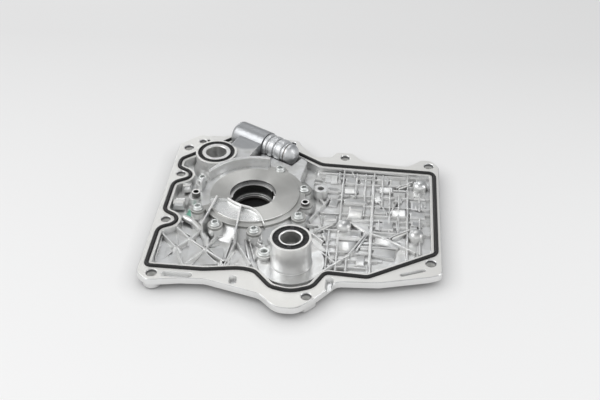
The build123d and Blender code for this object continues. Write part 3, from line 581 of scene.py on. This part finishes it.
def buildSweepTree():
    # carries a closed section along an outline whose corners are rounded one by one
    tree, given, result = newGeometryTree("sweepSection", [
        ("Section", "NodeSocketObject", None), ("Corner steps", "NodeSocketInt", 8),
        ("Material", "NodeSocketMaterial", None)])
    line = addNode(tree, "GeometryNodeMeshToCurve", {0: given["Geometry"]}).outputs[0]
    corner = addNode(tree, "GeometryNodeInputNamedAttribute", {"Name": "cornerRadius"}, data_type="FLOAT")
    line = addNode(tree, "GeometryNodeFilletCurve", {
        "Curve": line, "Radius": corner.outputs["Attribute"], "Count": given["Corner steps"]}, mode="POLY").outputs[0]
    line = addNode(tree, "GeometryNodeSetCurveNormal", {0: line}, mode="Z_UP").outputs[0]
    shape = addNode(tree, "GeometryNodeObjectInfo", {"Object": given["Section"]}).outputs["Geometry"]
    shape = addNode(tree, "GeometryNodeMeshToCurve", {0: shape}).outputs[0]
    swept = addNode(tree, "GeometryNodeCurveToMesh", {
        "Curve": line, "Profile Curve": shape, "Fill Caps": True}).outputs[0]
    finishTree(tree, swept, given["Material"], result)
    return tree


def buildPlaceTree():
    # sets one shape on every point, turned and stretched by what the point carries
    tree, given, result = newGeometryTree("placeOnPoints", [
        ("Shape", "NodeSocketObject", None), ("Material", "NodeSocketMaterial", None)])
    shape = addNode(tree, "GeometryNodeObjectInfo", {"Object": given["Shape"]}).outputs["Geometry"]
    spin, stretch = (addNode(tree, "GeometryNodeInputNamedAttribute", {"Name": label},
                             data_type="FLOAT_VECTOR").outputs["Attribute"] for label in ("spin", "stretch"))
    placed = addNode(tree, "GeometryNodeInstanceOnPoints", {
        "Points": given["Geometry"], "Instance": shape, "Rotation": spin, "Scale": stretch}).outputs[0]
    finishTree(tree, placed, given["Material"], result)
    return tree


sweepSection = buildSweepTree()
placeOnPoints = buildPlaceTree()


def runTree(source, tree, values):
    change = source.modifiers.new(tree.name, "NODES")
    change.node_group = tree
    for item in tree.interface.items_tree:
        if item.item_type == "SOCKET" and item.in_out == "INPUT" and item.name in values:
            change[item.identifier] = values[item.name]
    made = bpy.data.meshes.new_from_object(source.evaluated_get(bpy.context.evaluated_depsgraph_get()))
    source.modifiers.remove(change)
    return made


def dropObjects(*objects):
    for obj in objects:
        bpy.data.objects.remove(obj)


def settlePiece(name, meshes, finish, body, replaced, sharp=40.0):
    # body is a body's name, which the piece is attached to; anything else, such as two bodies and two ends, only
    # bakes the piece in place
    whole = bmesh.new()
    for mesh in meshes:
        whole.from_mesh(mesh)
    bmesh.ops.remove_doubles(whole, verts=whole.verts, dist=1e-7)
    bmesh.ops.recalc_face_normals(whole, faces=whole.faces)
    mesh = bpy.data.meshes.new(name)
    whole.to_mesh(mesh)
    whole.free()
    mesh.materials.clear()
    mesh.materials.append(madeFinish[finish])
    for face in mesh.polygons:
        face.material_index = 0
    mesh.shade_smooth()
    mesh.set_sharp_from_angle(angle=math.radians(sharp))
    piece = addObject(name, mesh)
    if isinstance(body, str):
        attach(piece, body)
    else:
        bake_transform(piece)
    if replaced:
        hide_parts(*replaced)
    return piece


def sweep(path, section, steps=8):
    made = runTree(path, sweepSection, {"Section": section, "Corner steps": steps})
    dropObjects(path, section)
    return made


def pointSet(name, points):
    # points are x, y, z and a turn in degrees, then the lean about x and y and the stretch
    mesh = newMesh(name, [tuple(c * mm for c in p[:3]) for p in points])
    spin = mesh.attributes.new("spin", "FLOAT_VECTOR", "POINT")
    stretch = mesh.attributes.new("stretch", "FLOAT_VECTOR", "POINT")
    for i, p in enumerate(points):
        lean = p[4:6] or (0, 0)
        spin.data[i].vector = [math.radians(a) for a in (*lean, p[3])]
        stretch.data[i].vector = p[6:9] or (1, 1, 1)
    return addObject(name, mesh)


def place(points, shape):
    made = runTree(points, placeOnPoints, {"Shape": shape})
    dropObjects(points, shape)
    return made


def turnedShape(name, profile, sides=48, capped=True):
    # rings of radius, height, lobe count and cut, where six lobes and a negative cut make a hexagon
    verts, faces = [], []
    for radius, height, lobes, cut in profile:
        for i in range(sides):
            t = 2 * math.pi * i / sides
            if lobes == 6 and cut < 0:
                across = math.cos(math.pi / 6) / math.cos((t + math.pi / 6) % (math.pi / 3) - math.pi / 6)
                r = radius * (1 + (across - 1) * -cut)
            else:
                r = radius * (1 + cut * math.cos(lobes * t))
            verts.append((r * mm * math.cos(t), r * mm * math.sin(t), height * mm))
    for ring in range(len(profile) - 1):
        for i in range(sides):
            j = (i + 1) % sides
            a, b = ring * sides, (ring + 1) * sides
            faces.append((a + i, a + j, b + j, b + i))
    if capped:
        faces.append(tuple(range(sides))[::-1])
        faces.append(tuple((len(profile) - 1) * sides + i for i in range(sides)))
    return addObject(name, newMesh(name, verts, faces))


def roundedRun(points, radius, steps=4):
    # softens the corners of an open or closed section, given as across and up
    out = []
    for i, p in enumerate(points):
        before, after = Vector(points[i - 1]), Vector(points[(i + 1) % len(points)])
        here = Vector(p)
        reach = min(radius, 0.45 * (before - here).length, 0.45 * (after - here).length)
        start = here + (before - here).normalized() * reach
        end = here + (after - here).normalized() * reach
        for k in range(steps + 1):
            f = k / steps
            out.append(tuple(start * (1 - f) ** 2 + here * 2 * f * (1 - f) + end * f ** 2))
    return out


print("stage: perimeter gasket")

# half widths and heights of the bead's section, and its line as x, y and corner radius
gasketBead = {
    "foot": 1.6, "waist": 1.32, "crown": 1.0, "low": -1.8, "shoulder": 0.5, "top": 2.0, "softness": 0.7,
    "line": [(-36, 104.5, 5), (-47, 93.5, 5), (-82.5, 62, 9), (-82.5, 48, 9), (-68, 40, 9),
             (-68, 30, 9), (-82.5, 21, 10), (-82.5, -24, 10), (-68, -32, 9), (-68, -43, 9),
             (-82.5, -51, 10), (-82.5, -104, 5), (-30, -105, 40), (2, -100, 40), (15, -103, 12),
             (31, -122, 14), (48.5, -126.5, 24), (67, -119, 14), (76.5, -99.5, 7), (114, -102, 8),
             (174.5, -65, 8), (174.5, 60, 6), (62, 65, 14), (36, 83, 8), (24.5, 95, 8),
             (-21, 119.3, 8), (-31, 118, 7)],
}


def makeGasket(s):
    section = roundedRun([(-s["foot"], s["low"]), (s["foot"], s["low"]), (s["foot"], s["shoulder"] - 0.5),
                          (s["waist"], s["shoulder"]), (s["crown"], s["top"] - 0.1), (0.35, s["top"]),
                          (0, s["top"] - 0.22), (-0.35, s["top"]), (-s["crown"], s["top"] - 0.1),
                          (-s["waist"], s["shoulder"]), (-s["foot"], s["shoulder"] - 0.5)], s["softness"], 2)
    mesh = sweep(corneredLine("gasketLine", s["line"]), sectionObject("gasketSection", section), 12)
    settlePiece("gasketBead", [mesh], "blackElastomer", "cover", ["perimeter_gasket"], 60)


makeGasket(gasketBead)

print("stage: cover screws and gallery plug")

screwHeads = {
    "places": [(-52.5, 20.0), (-48.9, -26.6), (-28.8, -49.0), (8.2, -55.2), (46.9, -31.0), (48.3, 11.8),
               (21.8, 42.5)],
    "seat": 6.8, "flange": 4.8, "waist": 4.1, "height": 3.4, "socket": 2.35, "socketDepth": 2.1, "shank": 2.48,
    "length": 8.0, "turns": [8, 51, 77, 24, 102, 63, 35],
}


def makeScrews(s):
    f, w, h, k = s["flange"], s["waist"], s["height"], s["socket"]
    profile = [(s["shank"] - 0.5, -s["length"], 0, 0), (s["shank"], -s["length"] + 0.6, 0, 0), (s["shank"], 0, 0, 0),
               (f - 0.25, 0, 0, 0), (f, 0.18, 0, 0), (f, 0.75, 0, 0), (f - 0.22, 1.0, 0, 0), (w + 0.15, 1.25, 0, 0),
               (w, 1.5, 0, 0), (w, h - 1.0, 0, 0), (w - 0.18, h - 0.55, 0, 0), (w - 0.6, h - 0.2, 0, 0),
               (w - 1.15, h, 0, 0), (k + 0.18, h, 6, 0.02), (k, h - 0.2, 6, 0.13),
               (k - 0.06, h - s["socketDepth"], 6, 0.13), (k * 0.5, h - s["socketDepth"] - 0.3, 6, 0.05)]
    spots = [(x, y, s["seat"], t) for (x, y), t in zip(s["places"], s["turns"])]
    mesh = place(pointSet("screwSpots", spots), turnedShape("screwShape", profile))
    settlePiece("coverScrewSet", [mesh], "zincSteel", "cover", ["cover_screws"], 35)


plugSetup = {"place": (20.8, -79.5, 2.0, 18), "collar": 6.4, "boss": 4.9, "thread": 4.45, "reach": 7.9,
             "socket": 2.9}


def makePlug(s):
    c, b, k = s["collar"], s["boss"], s["socket"]
    profile = [(s["thread"] - 0.6, -s["reach"], 0, 0), (s["thread"], -s["reach"] + 0.6, 0, 0), (s["thread"], 0, 0, 0),
               (c - 0.2, 0, 0, 0), (c, 0.2, 0, 0), (c, 0.9, 0, 0), (c - 0.3, 1.15, 0, 0), (b + 0.3, 1.3, 0, 0),
               (b, 1.45, 0, 0), (b, 2.1, 0, 0), (b - 0.35, 2.4, 0, 0), (k + 0.75, 2.4, 0, 0),
               (k + 0.45, 2.3, 6, -0.6), (k, 1.9, 6, -1), (k, -1.2, 6, -1), (k * 0.4, -1.5, 6, -0.5)]
    mesh = place(pointSet("plugSpot", [s["place"]]), turnedShape("plugShape", profile))
    settlePiece("galleryPlugHead", [mesh], "zincSteel", "cover", ["gallery_plug"], 35)


makeScrews(screwHeads)
makePlug(plugSetup)

print("stage: port seals and crank seal")

# what both seals share: their section, the short bars across the valley and the wider grip keys
sealForm = {"low": -2.2, "web": -0.75, "lip": 1.25, "rise": 0.35, "barRise": -0.25, "keyWidth": 3.2, "keyRise": 0.30,
            "barHeight": 0.9, "barRound": 0.16}
portSeals = {
    "outletSealRing": {"node": "outlet_seal", "centre": (-45.5, 61.5), "top": 12.0, "inner": 14.45, "outer": 18.55,
                       "bars": 24, "barWidth": 0.5, "keys": 0},
    "inletSealRing": {"node": "inlet_seal", "centre": (45.2, -85.1), "top": 26.0, "inner": 10.95, "outer": 16.25,
                      "bars": 16, "barWidth": 0.7, "keys": 2},
}


def makePortSeal(name, s):
    (x, y), top, a, b = s["centre"], s["top"], s["inner"], s["outer"]
    low, web, lip, rise = s["low"], s["web"], s["lip"], s["rise"]
    middle, half = (a + b) / 2, (b - a) / 2
    section = roundedRun([(-half, low), (half, low), (half, rise - 0.25), (half - 0.3, rise),
                          (half - lip + 0.2, rise - 0.1), (half - lip, web), (-half + lip, web),
                          (-half + lip - 0.2, rise - 0.1), (-half + 0.3, rise), (-half, rise - 0.25)], 0.35, 3)
    meshes = [sweep(circlePath("sealPath", (x, y, top), middle, 112), sectionObject("sealSection", section))]
    for count, width, height in ((s["bars"], s["barWidth"], s["barRise"]), (s["keys"], s["keyWidth"], s["keyRise"])):
        if count:
            bar = bmesh.new()
            bmesh.ops.create_cube(bar, size=1.0)
            bmesh.ops.scale(bar, vec=((b - a - lip * 1.2) * mm, width * mm, s["barHeight"] * mm), verts=bar.verts)
            bmesh.ops.bevel(bar, geom=bar.edges[:], offset=s["barRound"] * mm, segments=2, affect="EDGES")
            mesh = newMesh("sealBar", [])
            bar.to_mesh(mesh)
            bar.free()
            turns = [math.pi / 2 + 2 * math.pi * i / count for i in range(count)]
            spots = [(x + middle * math.cos(t), y + middle * math.sin(t), top + height - s["barHeight"] / 2,
                      math.degrees(t)) for t in turns]
            meshes.append(place(pointSet("barSpots", spots), addObject("sealBar", mesh)))
    settlePiece(name, meshes, "blackElastomer", "cover", [s["node"]], 45)


for sealName, sealValues in portSeals.items():
    makePortSeal(sealName, {**sealForm, **sealValues})

# the lip's section, as steps across from the radius and heights
crankSeal = {
    "radius": 20.0,
    "steps": [(3.8, -12.6), (3.8, -8.6), (1.2, -8.5), (0.2, -9.0), (-1.4, -8.15), (-2.6, -8.15), (-3.8, -9.5),
              (-3.05, -10.5), (-3.3, -12.1), (-2.7, -12.6), (-1.2, -11.6), (2.2, -12.2), (2.4, -12.6)],
}


def makeCrankSeal(s):
    mesh = sweep(circlePath("crankSealPath", (0, 0, 0), s["radius"], 128),
                 sectionObject("crankSealSection", roundedRun(s["steps"], 0.35, 3)))
    settlePiece("crankSealLips", [mesh], "darkRubber", "cover", ["crank_seal_lip"], 50)


makeCrankSeal(crankSeal)

print("stage: port liners and relief valve rings")

linerRings = {
    "outletLinerRing": {"node": "outlet_liner", "centre": (-45.5, 61.5), "top": 12.0, "bore": 10.15, "wall": 14.35},
    "inletLinerRing": {"node": "inlet_liner", "centre": (45.2, -85.1), "top": 26.0, "bore": 9.0, "wall": 10.85},
}


def makeLiner(name, s):
    (x, y), top = s["centre"], s["top"]
    half, middle = (s["wall"] - s["bore"]) / 2, (s["wall"] + s["bore"]) / 2
    lead = min(0.6, half * 0.6)
    section = [(-half, -13.9), (half - 0.2, -13.9), (half, -13.6), (half, -0.25), (half - 0.25, 0), (-half + lead, 0),
               (-half, -lead)]
    mesh = sweep(circlePath("linerPath", (x, y, top), middle, 96), sectionObject("linerSection", section))
    settlePiece(name, [mesh], "brightRing", "cover", [s["node"]], 25)


for linerName, linerValues in linerRings.items():
    makeLiner(linerName, linerValues)

# the barrel's line, and the sleeve's rings as radius and length
valveRings = {"start": (-30.0, 105.4, 7.0), "turn": -30.8, "barrel": 40.0, "bore": 5.7, "spigot": 7.95,
              "steps": [(12.8, 5), (11.6, 2.5), (12.8, 6), (11.4, 2.5), (12.6, 7), (11.2, 3)], "round": 0.9}


def alongValve(s, distance):
    turn = Matrix.Rotation(math.radians(s["turn"]), 4, "Z") @ Matrix.Rotation(math.radians(90), 4, "Y")
    return Matrix.Translation(Vector(s["start"]) * mm) @ turn @ Matrix.Translation((0, 0, distance * mm))


def makeValveSleeve(s):
    profile, z = [(s["bore"], -7.9, 0, 0), (s["spigot"], -7.9, 0, 0), (s["spigot"], 0.05, 0, 0)], 0.05
    for i, (r, length) in enumerate(s["steps"]):
        end = z + length - (0.05 if i == 0 else 0)
        # the wide rings are rounded and the grooves between them are sharp
        e = s["round"] if r > 12 else 0.25
        profile += [(r - e, z, 0, 0), (r - e * 0.3, z + e * 0.3, 0, 0), (r, z + e, 0, 0), (r, end - e, 0, 0),
                    (r - e * 0.3, end - e * 0.3, 0, 0), (r - e, end, 0, 0)]
        z = end
    profile += [(s["bore"], z, 0, 0), (s["bore"], -7.9, 0, 0)]
    shape = turnedShape("sleeveShape", profile, 96, capped=False)
    shape.data.transform(alongValve(s, s["barrel"]))
    mesh = shape.data
    dropObjects(shape)
    settlePiece("reliefSleeveRings", [mesh], "castSleeve", "cover", ["relief_sleeve"], 30)


makeValveSleeve(valveRings)

reliefCoil = {"from": 9.45, "to": 55.35, "radius": 4.2, "wire": 0.65, "turns": 9, "steps": 24, "sides": 10}


def makeSpring(s):
    # the coil's inner end lies at the piston and its outer end at the cap, and the coil is baked in place
    count, axis, points = s["turns"] * s["steps"], alongValve(valveRings, 0), []
    for i in range(count + 1):
        t = 2 * math.pi * i / s["steps"]
        along = s["from"] + (s["to"] - s["from"]) * i / count
        spot = axis @ (Vector((s["radius"] * math.cos(t), s["radius"] * math.sin(t), along)) * mm)
        points.append(tuple(spot / mm))
    mesh = sweep(outlineObject("coilLine", points, False), roundSection("coilSection", s["wire"], s["sides"]))
    ends = [alongValve(valveRings, d).translation for d in (s["from"] + 1, s["to"] - 1)]
    settlePiece("reliefSpringCoil", [mesh], "springSteel", ("relief_piston", "cover", *ends), ["relief_spring"])


makeSpring(reliefCoil)

print("stage: cast relief and plate ridges")

castRelief = {
    "low": -6.6, "edge": 0.11, "facetFoot": -10.5,
    # fields of the ribbed wing and of the left side: x, y, length, width, top, turn, lean about x and y
    "fields": [
        (92, 45, 12, 12, -2.45, 0, -7, 6), (137, 43.5, 11, 11.5, -2.05, 0, -4, -7),
        (98.5, 10.5, 25, 8.5, -2.35, 0, -8, 0), (99.5, -7.5, 16, 21, -2.45, -4, 4, 0),
        (122, -3, 12, 9.5, -2.35, 0, -10, 3), (140.5, -4.5, 16, 10.5, -2.15, 0, 8, -3),
        (158, -6, 16, 11.5, -2.25, 0, -11, 0), (158, 9, 15, 11, -2.55, 0, 10, 7),
        (130, -23.5, 11.5, 17, -2.25, 0, -10, 0), (157, -18.5, 12, 6, -2.35, 0, 17, 6),
        (95.5, -39.5, 23, 17, -2.55, 0, -13, 0), (93.5, -57.5, 19, 15, -2.75, 3, 7, 0),
        (128, 33, 15, 9, -2.65, 0, 5, -4), (104, 44, 7, 9, -2.75, 8, -17, 11), (76, 46, 8, 12, -2.65, 0, 13, -8),
        (75, 28, 12, 8, -2.75, 0, -13, 7), (92, 28, 13, 9, -2.85, 0, 6, -3), (77, 8, 9, 12, -2.75, -8, 7, 13),
        (76, -17, 12, 9, -2.75, 4, -13, -6), (74, -45, 9, 10, -2.75, 20, 11, 11),
        (128, -64, 22, 14, -2.95, -8, -4, 0),
        (130, -49, 26, 9, -2.85, -14, 6, 0), (107, -76, 9, 18, -3.05, 0, -6, -8),
        (123, 52, 12, 8, -2.75, 0, -11, 6),
        (160, 21, 12, 5, -2.45, 0, -17, 0), (120, 17, 8, 9, -2.85, 20, 8, -13), (140, 19, 8, 10, -2.85, -16, -8, 11),
        (-71, -4, 11, 5, -1.3, 0, -14, 0), (-71, -10, 10, 5, -1.6, 0, 11, 0), (-70, 23, 10, 5, -1.4, -8, -13, 6),
        (-68, 17, 7, 4, -2.4, 12, 13, 0), (-57, 31, 6, 8, -3, 24, 14, 11), (-61, 9, 6, 9, -4, 0, -13, 13),
    ],
    # bars from point to point: x, y, x, y, width, top
    "bars": [
        (114.8, 61, 114.8, -88, 3.0, -2.5), (85.2, 60, 84.6, -62, 2.2, -2.7), (148.7, 52, 148.7, -27, 2.0, -2.6),
        (97, -26, 111, -38, 2.0, -1.9), (81, -26, 66, -38.5, 1.8, -2.2), (149.5, -33, 134, -44, 1.8, -2.0),
        (153, 43.5, 139, 34, 1.8, -2.0), (112, -38.5, 102, -64, 1.8, -2.5), (120.5, 14, 130, -9, 1.8, -2.6),
        (138.5, 14, 131, -9, 1.8, -2.6), (121.5, -14, 122.5, -32, 1.5, -2.6),
        (138, -14, 139, -32, 1.5, -2.6), (70, -32, 81, -84, 1.6, -2.6), (83, -66, 103, -66, 1.6, -2.6),
        (132, 38, 132, 50, 1.6, -2.1), (98.4, 40, 98.4, 51, 1.4, -2.2), (86, 17.5, 92, 21, 1.4, -2.5),
        (92, 21, 98.5, 17.8, 1.4, -2.5), (80.5, 60, 80.5, 44, 1.8, -2.6), (92.5, 60, 96.5, 51, 1.8, -2.6),
        (101, 48, 104.5, 39, 1.8, -2.6), (141, 26, 141, 14, 1.6, -2.6), (156.5, 16, 157, 3, 1.2, -2.6),
        (162, 16, 162.5, 3, 1.2, -2.6), (66, -12, 69, -28, 1.4, -2.8), (60, 18, 70, 3, 2.4, -2.6),
        (52, -29, 66, -31, 1.8, -2.4), (-77.2, -50, -77.2, -90, 1.0, -3.4), (-12, -50, -14.6, -84, 1.8, -3.0),
        (-2, -50, 8, -86, 2.0, -2.6), (1.5, -50, 12.5, -84, 1.4, -2.8), (-66, -46, -50, -56, 1.6, -3.0),
    ],
    # small steps left by the die around the pump's foot: x, y, length, width, top, turn
    "steps": [
        (-26, -47, 9, 2.6, -1.2, 4), (-17, -52, 8, 2.4, -2.0, -6), (-24, -54, 7, 2.4, -2.6, 8),
        (-10, -57, 6, 2.2, -3.0, 0),
        (-34, -41, 6, 3.0, -0.6, 30), (20.8, -88.5, 7, 1.6, -1.4, 8),
        (20.4, -91.5, 7.4, 1.6, -2.2, 4), (20.0, -94.6, 7.8, 1.6, -3.2, 0), (18, -66, 4, 6, -1.6, 14),
        (14, -60, 5, 3, -1.0, -20), (54, -46, 6, 3, -1.8, 40),
        (-45, 37, 5, 3, -2.2, 40), (-57, 43, 6, 3, -2.4, 20), (60, 44, 9, 2.4, -2.4, -8), (60, 38, 9, 2.0, -3.0, -8),
    ],
    # rounded bulge over an oil way, and the facets of the lower corner
    "bulge": {"line": [(-63, -27, 0), (-53, -33, 9), (-43.5, -44, 9), (-36, -58, 9), (-33, -70, 0)], "height": -5.2,
              "radius": 3.4, "sides": 16},
    "facets": [
        [(-66, -50, -6.0), (-60, -70, -3.6), (-76, -60, -7.6)],
        [(-63, -49, -6.0), (-51, -61, -2.9), (-60, -71, -4.6)],
        [(-76, -68, -7.6), (-62, -76, -3.8), (-74, -92, -7.2)],
        [(-60, -76, -3.8), (-51, -93, -5.0), (-70, -93, -7.4)],
        [(-50, -63, -2.9), (-36, -75, -2.9), (-48, -90, -6.8)],
        [(-34, -77, -3.0), (-20, -91, -4.4), (-44, -93, -6.8)],
        [(-32, -72, -3.0), (-17, -66, -6.8), (-17, -86, -4.6)],
        [(-28, -60, -5.0), (-17, -56, -7.2), (-30, -70, -3.4)],
        [(-11, -60, -5.2), (-4, -58, -6.8), (-9, -80, -7.2)],
        [(3, -66, -7.6), (9, -86, -7.6), (-6, -90, -5.2)],
    ],
}


def reliefShape(edge):
    # a unit block whose top edges are worn off in two steps
    rings = [(0.5, 0.0), (0.5 - edge * 0.5, 1.0 - edge * 1.6), (0.5 - edge * 1.2, 1.0)]
    corners = [(-1, -1), (1, -1), (1, 1), (-1, 1)]
    verts = [(x * r, y * r, z) for r, z in rings for x, y in corners]
    faces = [(3, 2, 1, 0), (8, 9, 10, 11)]
    faces += [(k + i, k + (i + 1) % 4, k + 4 + (i + 1) % 4, k + 4 + i) for k in (0, 4) for i in range(4)]
    return addObject("reliefShape", newMesh("reliefShape", verts, faces))


def makeRelief(s):
    low, points = s["low"], []
    for x, y, length, width, top, turn, leanX, leanY in s["fields"]:
        points.append((x, y, low, turn, leanX, leanY, length * mm, width * mm, (top - low) * mm))
    for x0, y0, x1, y1, width, top in s["bars"]:
        turn = math.degrees(math.atan2(y1 - y0, x1 - x0))
        length = math.hypot(x1 - x0, y1 - y0)
        points.append(((x0 + x1) / 2, (y0 + y1) / 2, low, turn, 0, 0, length * mm, width * mm, (top - low) * mm))
    for x, y, length, width, top, turn in s["steps"]:
        points.append((x, y, low, turn, 0, 0, length * mm, width * mm, (top - low) * mm))
    meshes = [place(pointSet("reliefSpots", points), reliefShape(s["edge"]))]
    b = s["bulge"]
    path = outlineObject("bulgeLine", [(x, y, b["height"]) for x, y, _ in b["line"]], False,
                         [r for _, _, r in b["line"]])
    meshes.append(sweep(path, roundSection("bulgeSection", b["radius"], b["sides"])))
    # each facet is the sloping top of a small solid that stands in the floor
    for facet in s["facets"]:
        verts = [(x * mm, y * mm, z * mm) for x, y, z in facet]
        verts += [(x * mm, y * mm, s["facetFoot"] * mm) for x, y, _ in facet]
        faces = [(0, 1, 2), (5, 4, 3), (0, 3, 4, 1), (1, 4, 5, 2), (2, 5, 3, 0)]
        meshes.append(newMesh("facet", verts, faces))
    settlePiece("castRelief", meshes, "castAluminium", "cover", [], 25)


makeRelief(castRelief)

plateRidges = {
    "scroll": [(-22.5, -12, 0), (-15.5, -17.5, 8), (-8, -21.6, 10), (0.5, -24, 14), (7.5, -29, 14), (12.6, -37.5, 30),
               (17.3, -49.5, 0)],
    "foot": 4.3, "crest": 10.2, "width": 1.5, "rim": 43.6, "rimArc": (229, 316), "rimFoot": 7.4, "rimTop": 8.45,
    "rimWidth": 1.1, "taper": 0.8,
}


def makeRidges(s):
    def ridgeSection(name, half, low, high, softness):
        slim = half * s["taper"]
        return sectionObject(name, roundedRun([(-half, low), (half, low), (slim, high), (-slim, high)], softness, 2))

    first, last = s["rimArc"]
    turns = [math.radians(first + (last - first) * i / 40) for i in range(41)]
    arc = outlineObject("rimLine", [(s["rim"] * math.cos(t), s["rim"] * math.sin(t), 0) for t in turns], False)
    meshes = [
        sweep(corneredLine("scrollLine", s["scroll"], False),
              ridgeSection("wallSection", s["width"] / 2, s["foot"], s["crest"], 0.3)),
        sweep(arc, ridgeSection("beadSection", s["rimWidth"] / 2, s["rimFoot"], s["rimTop"], 0.25)),
    ]
    settlePiece("plateRidges", meshes, "machinedPlate", "cover", [], 35)


makeRidges(plateRidges)
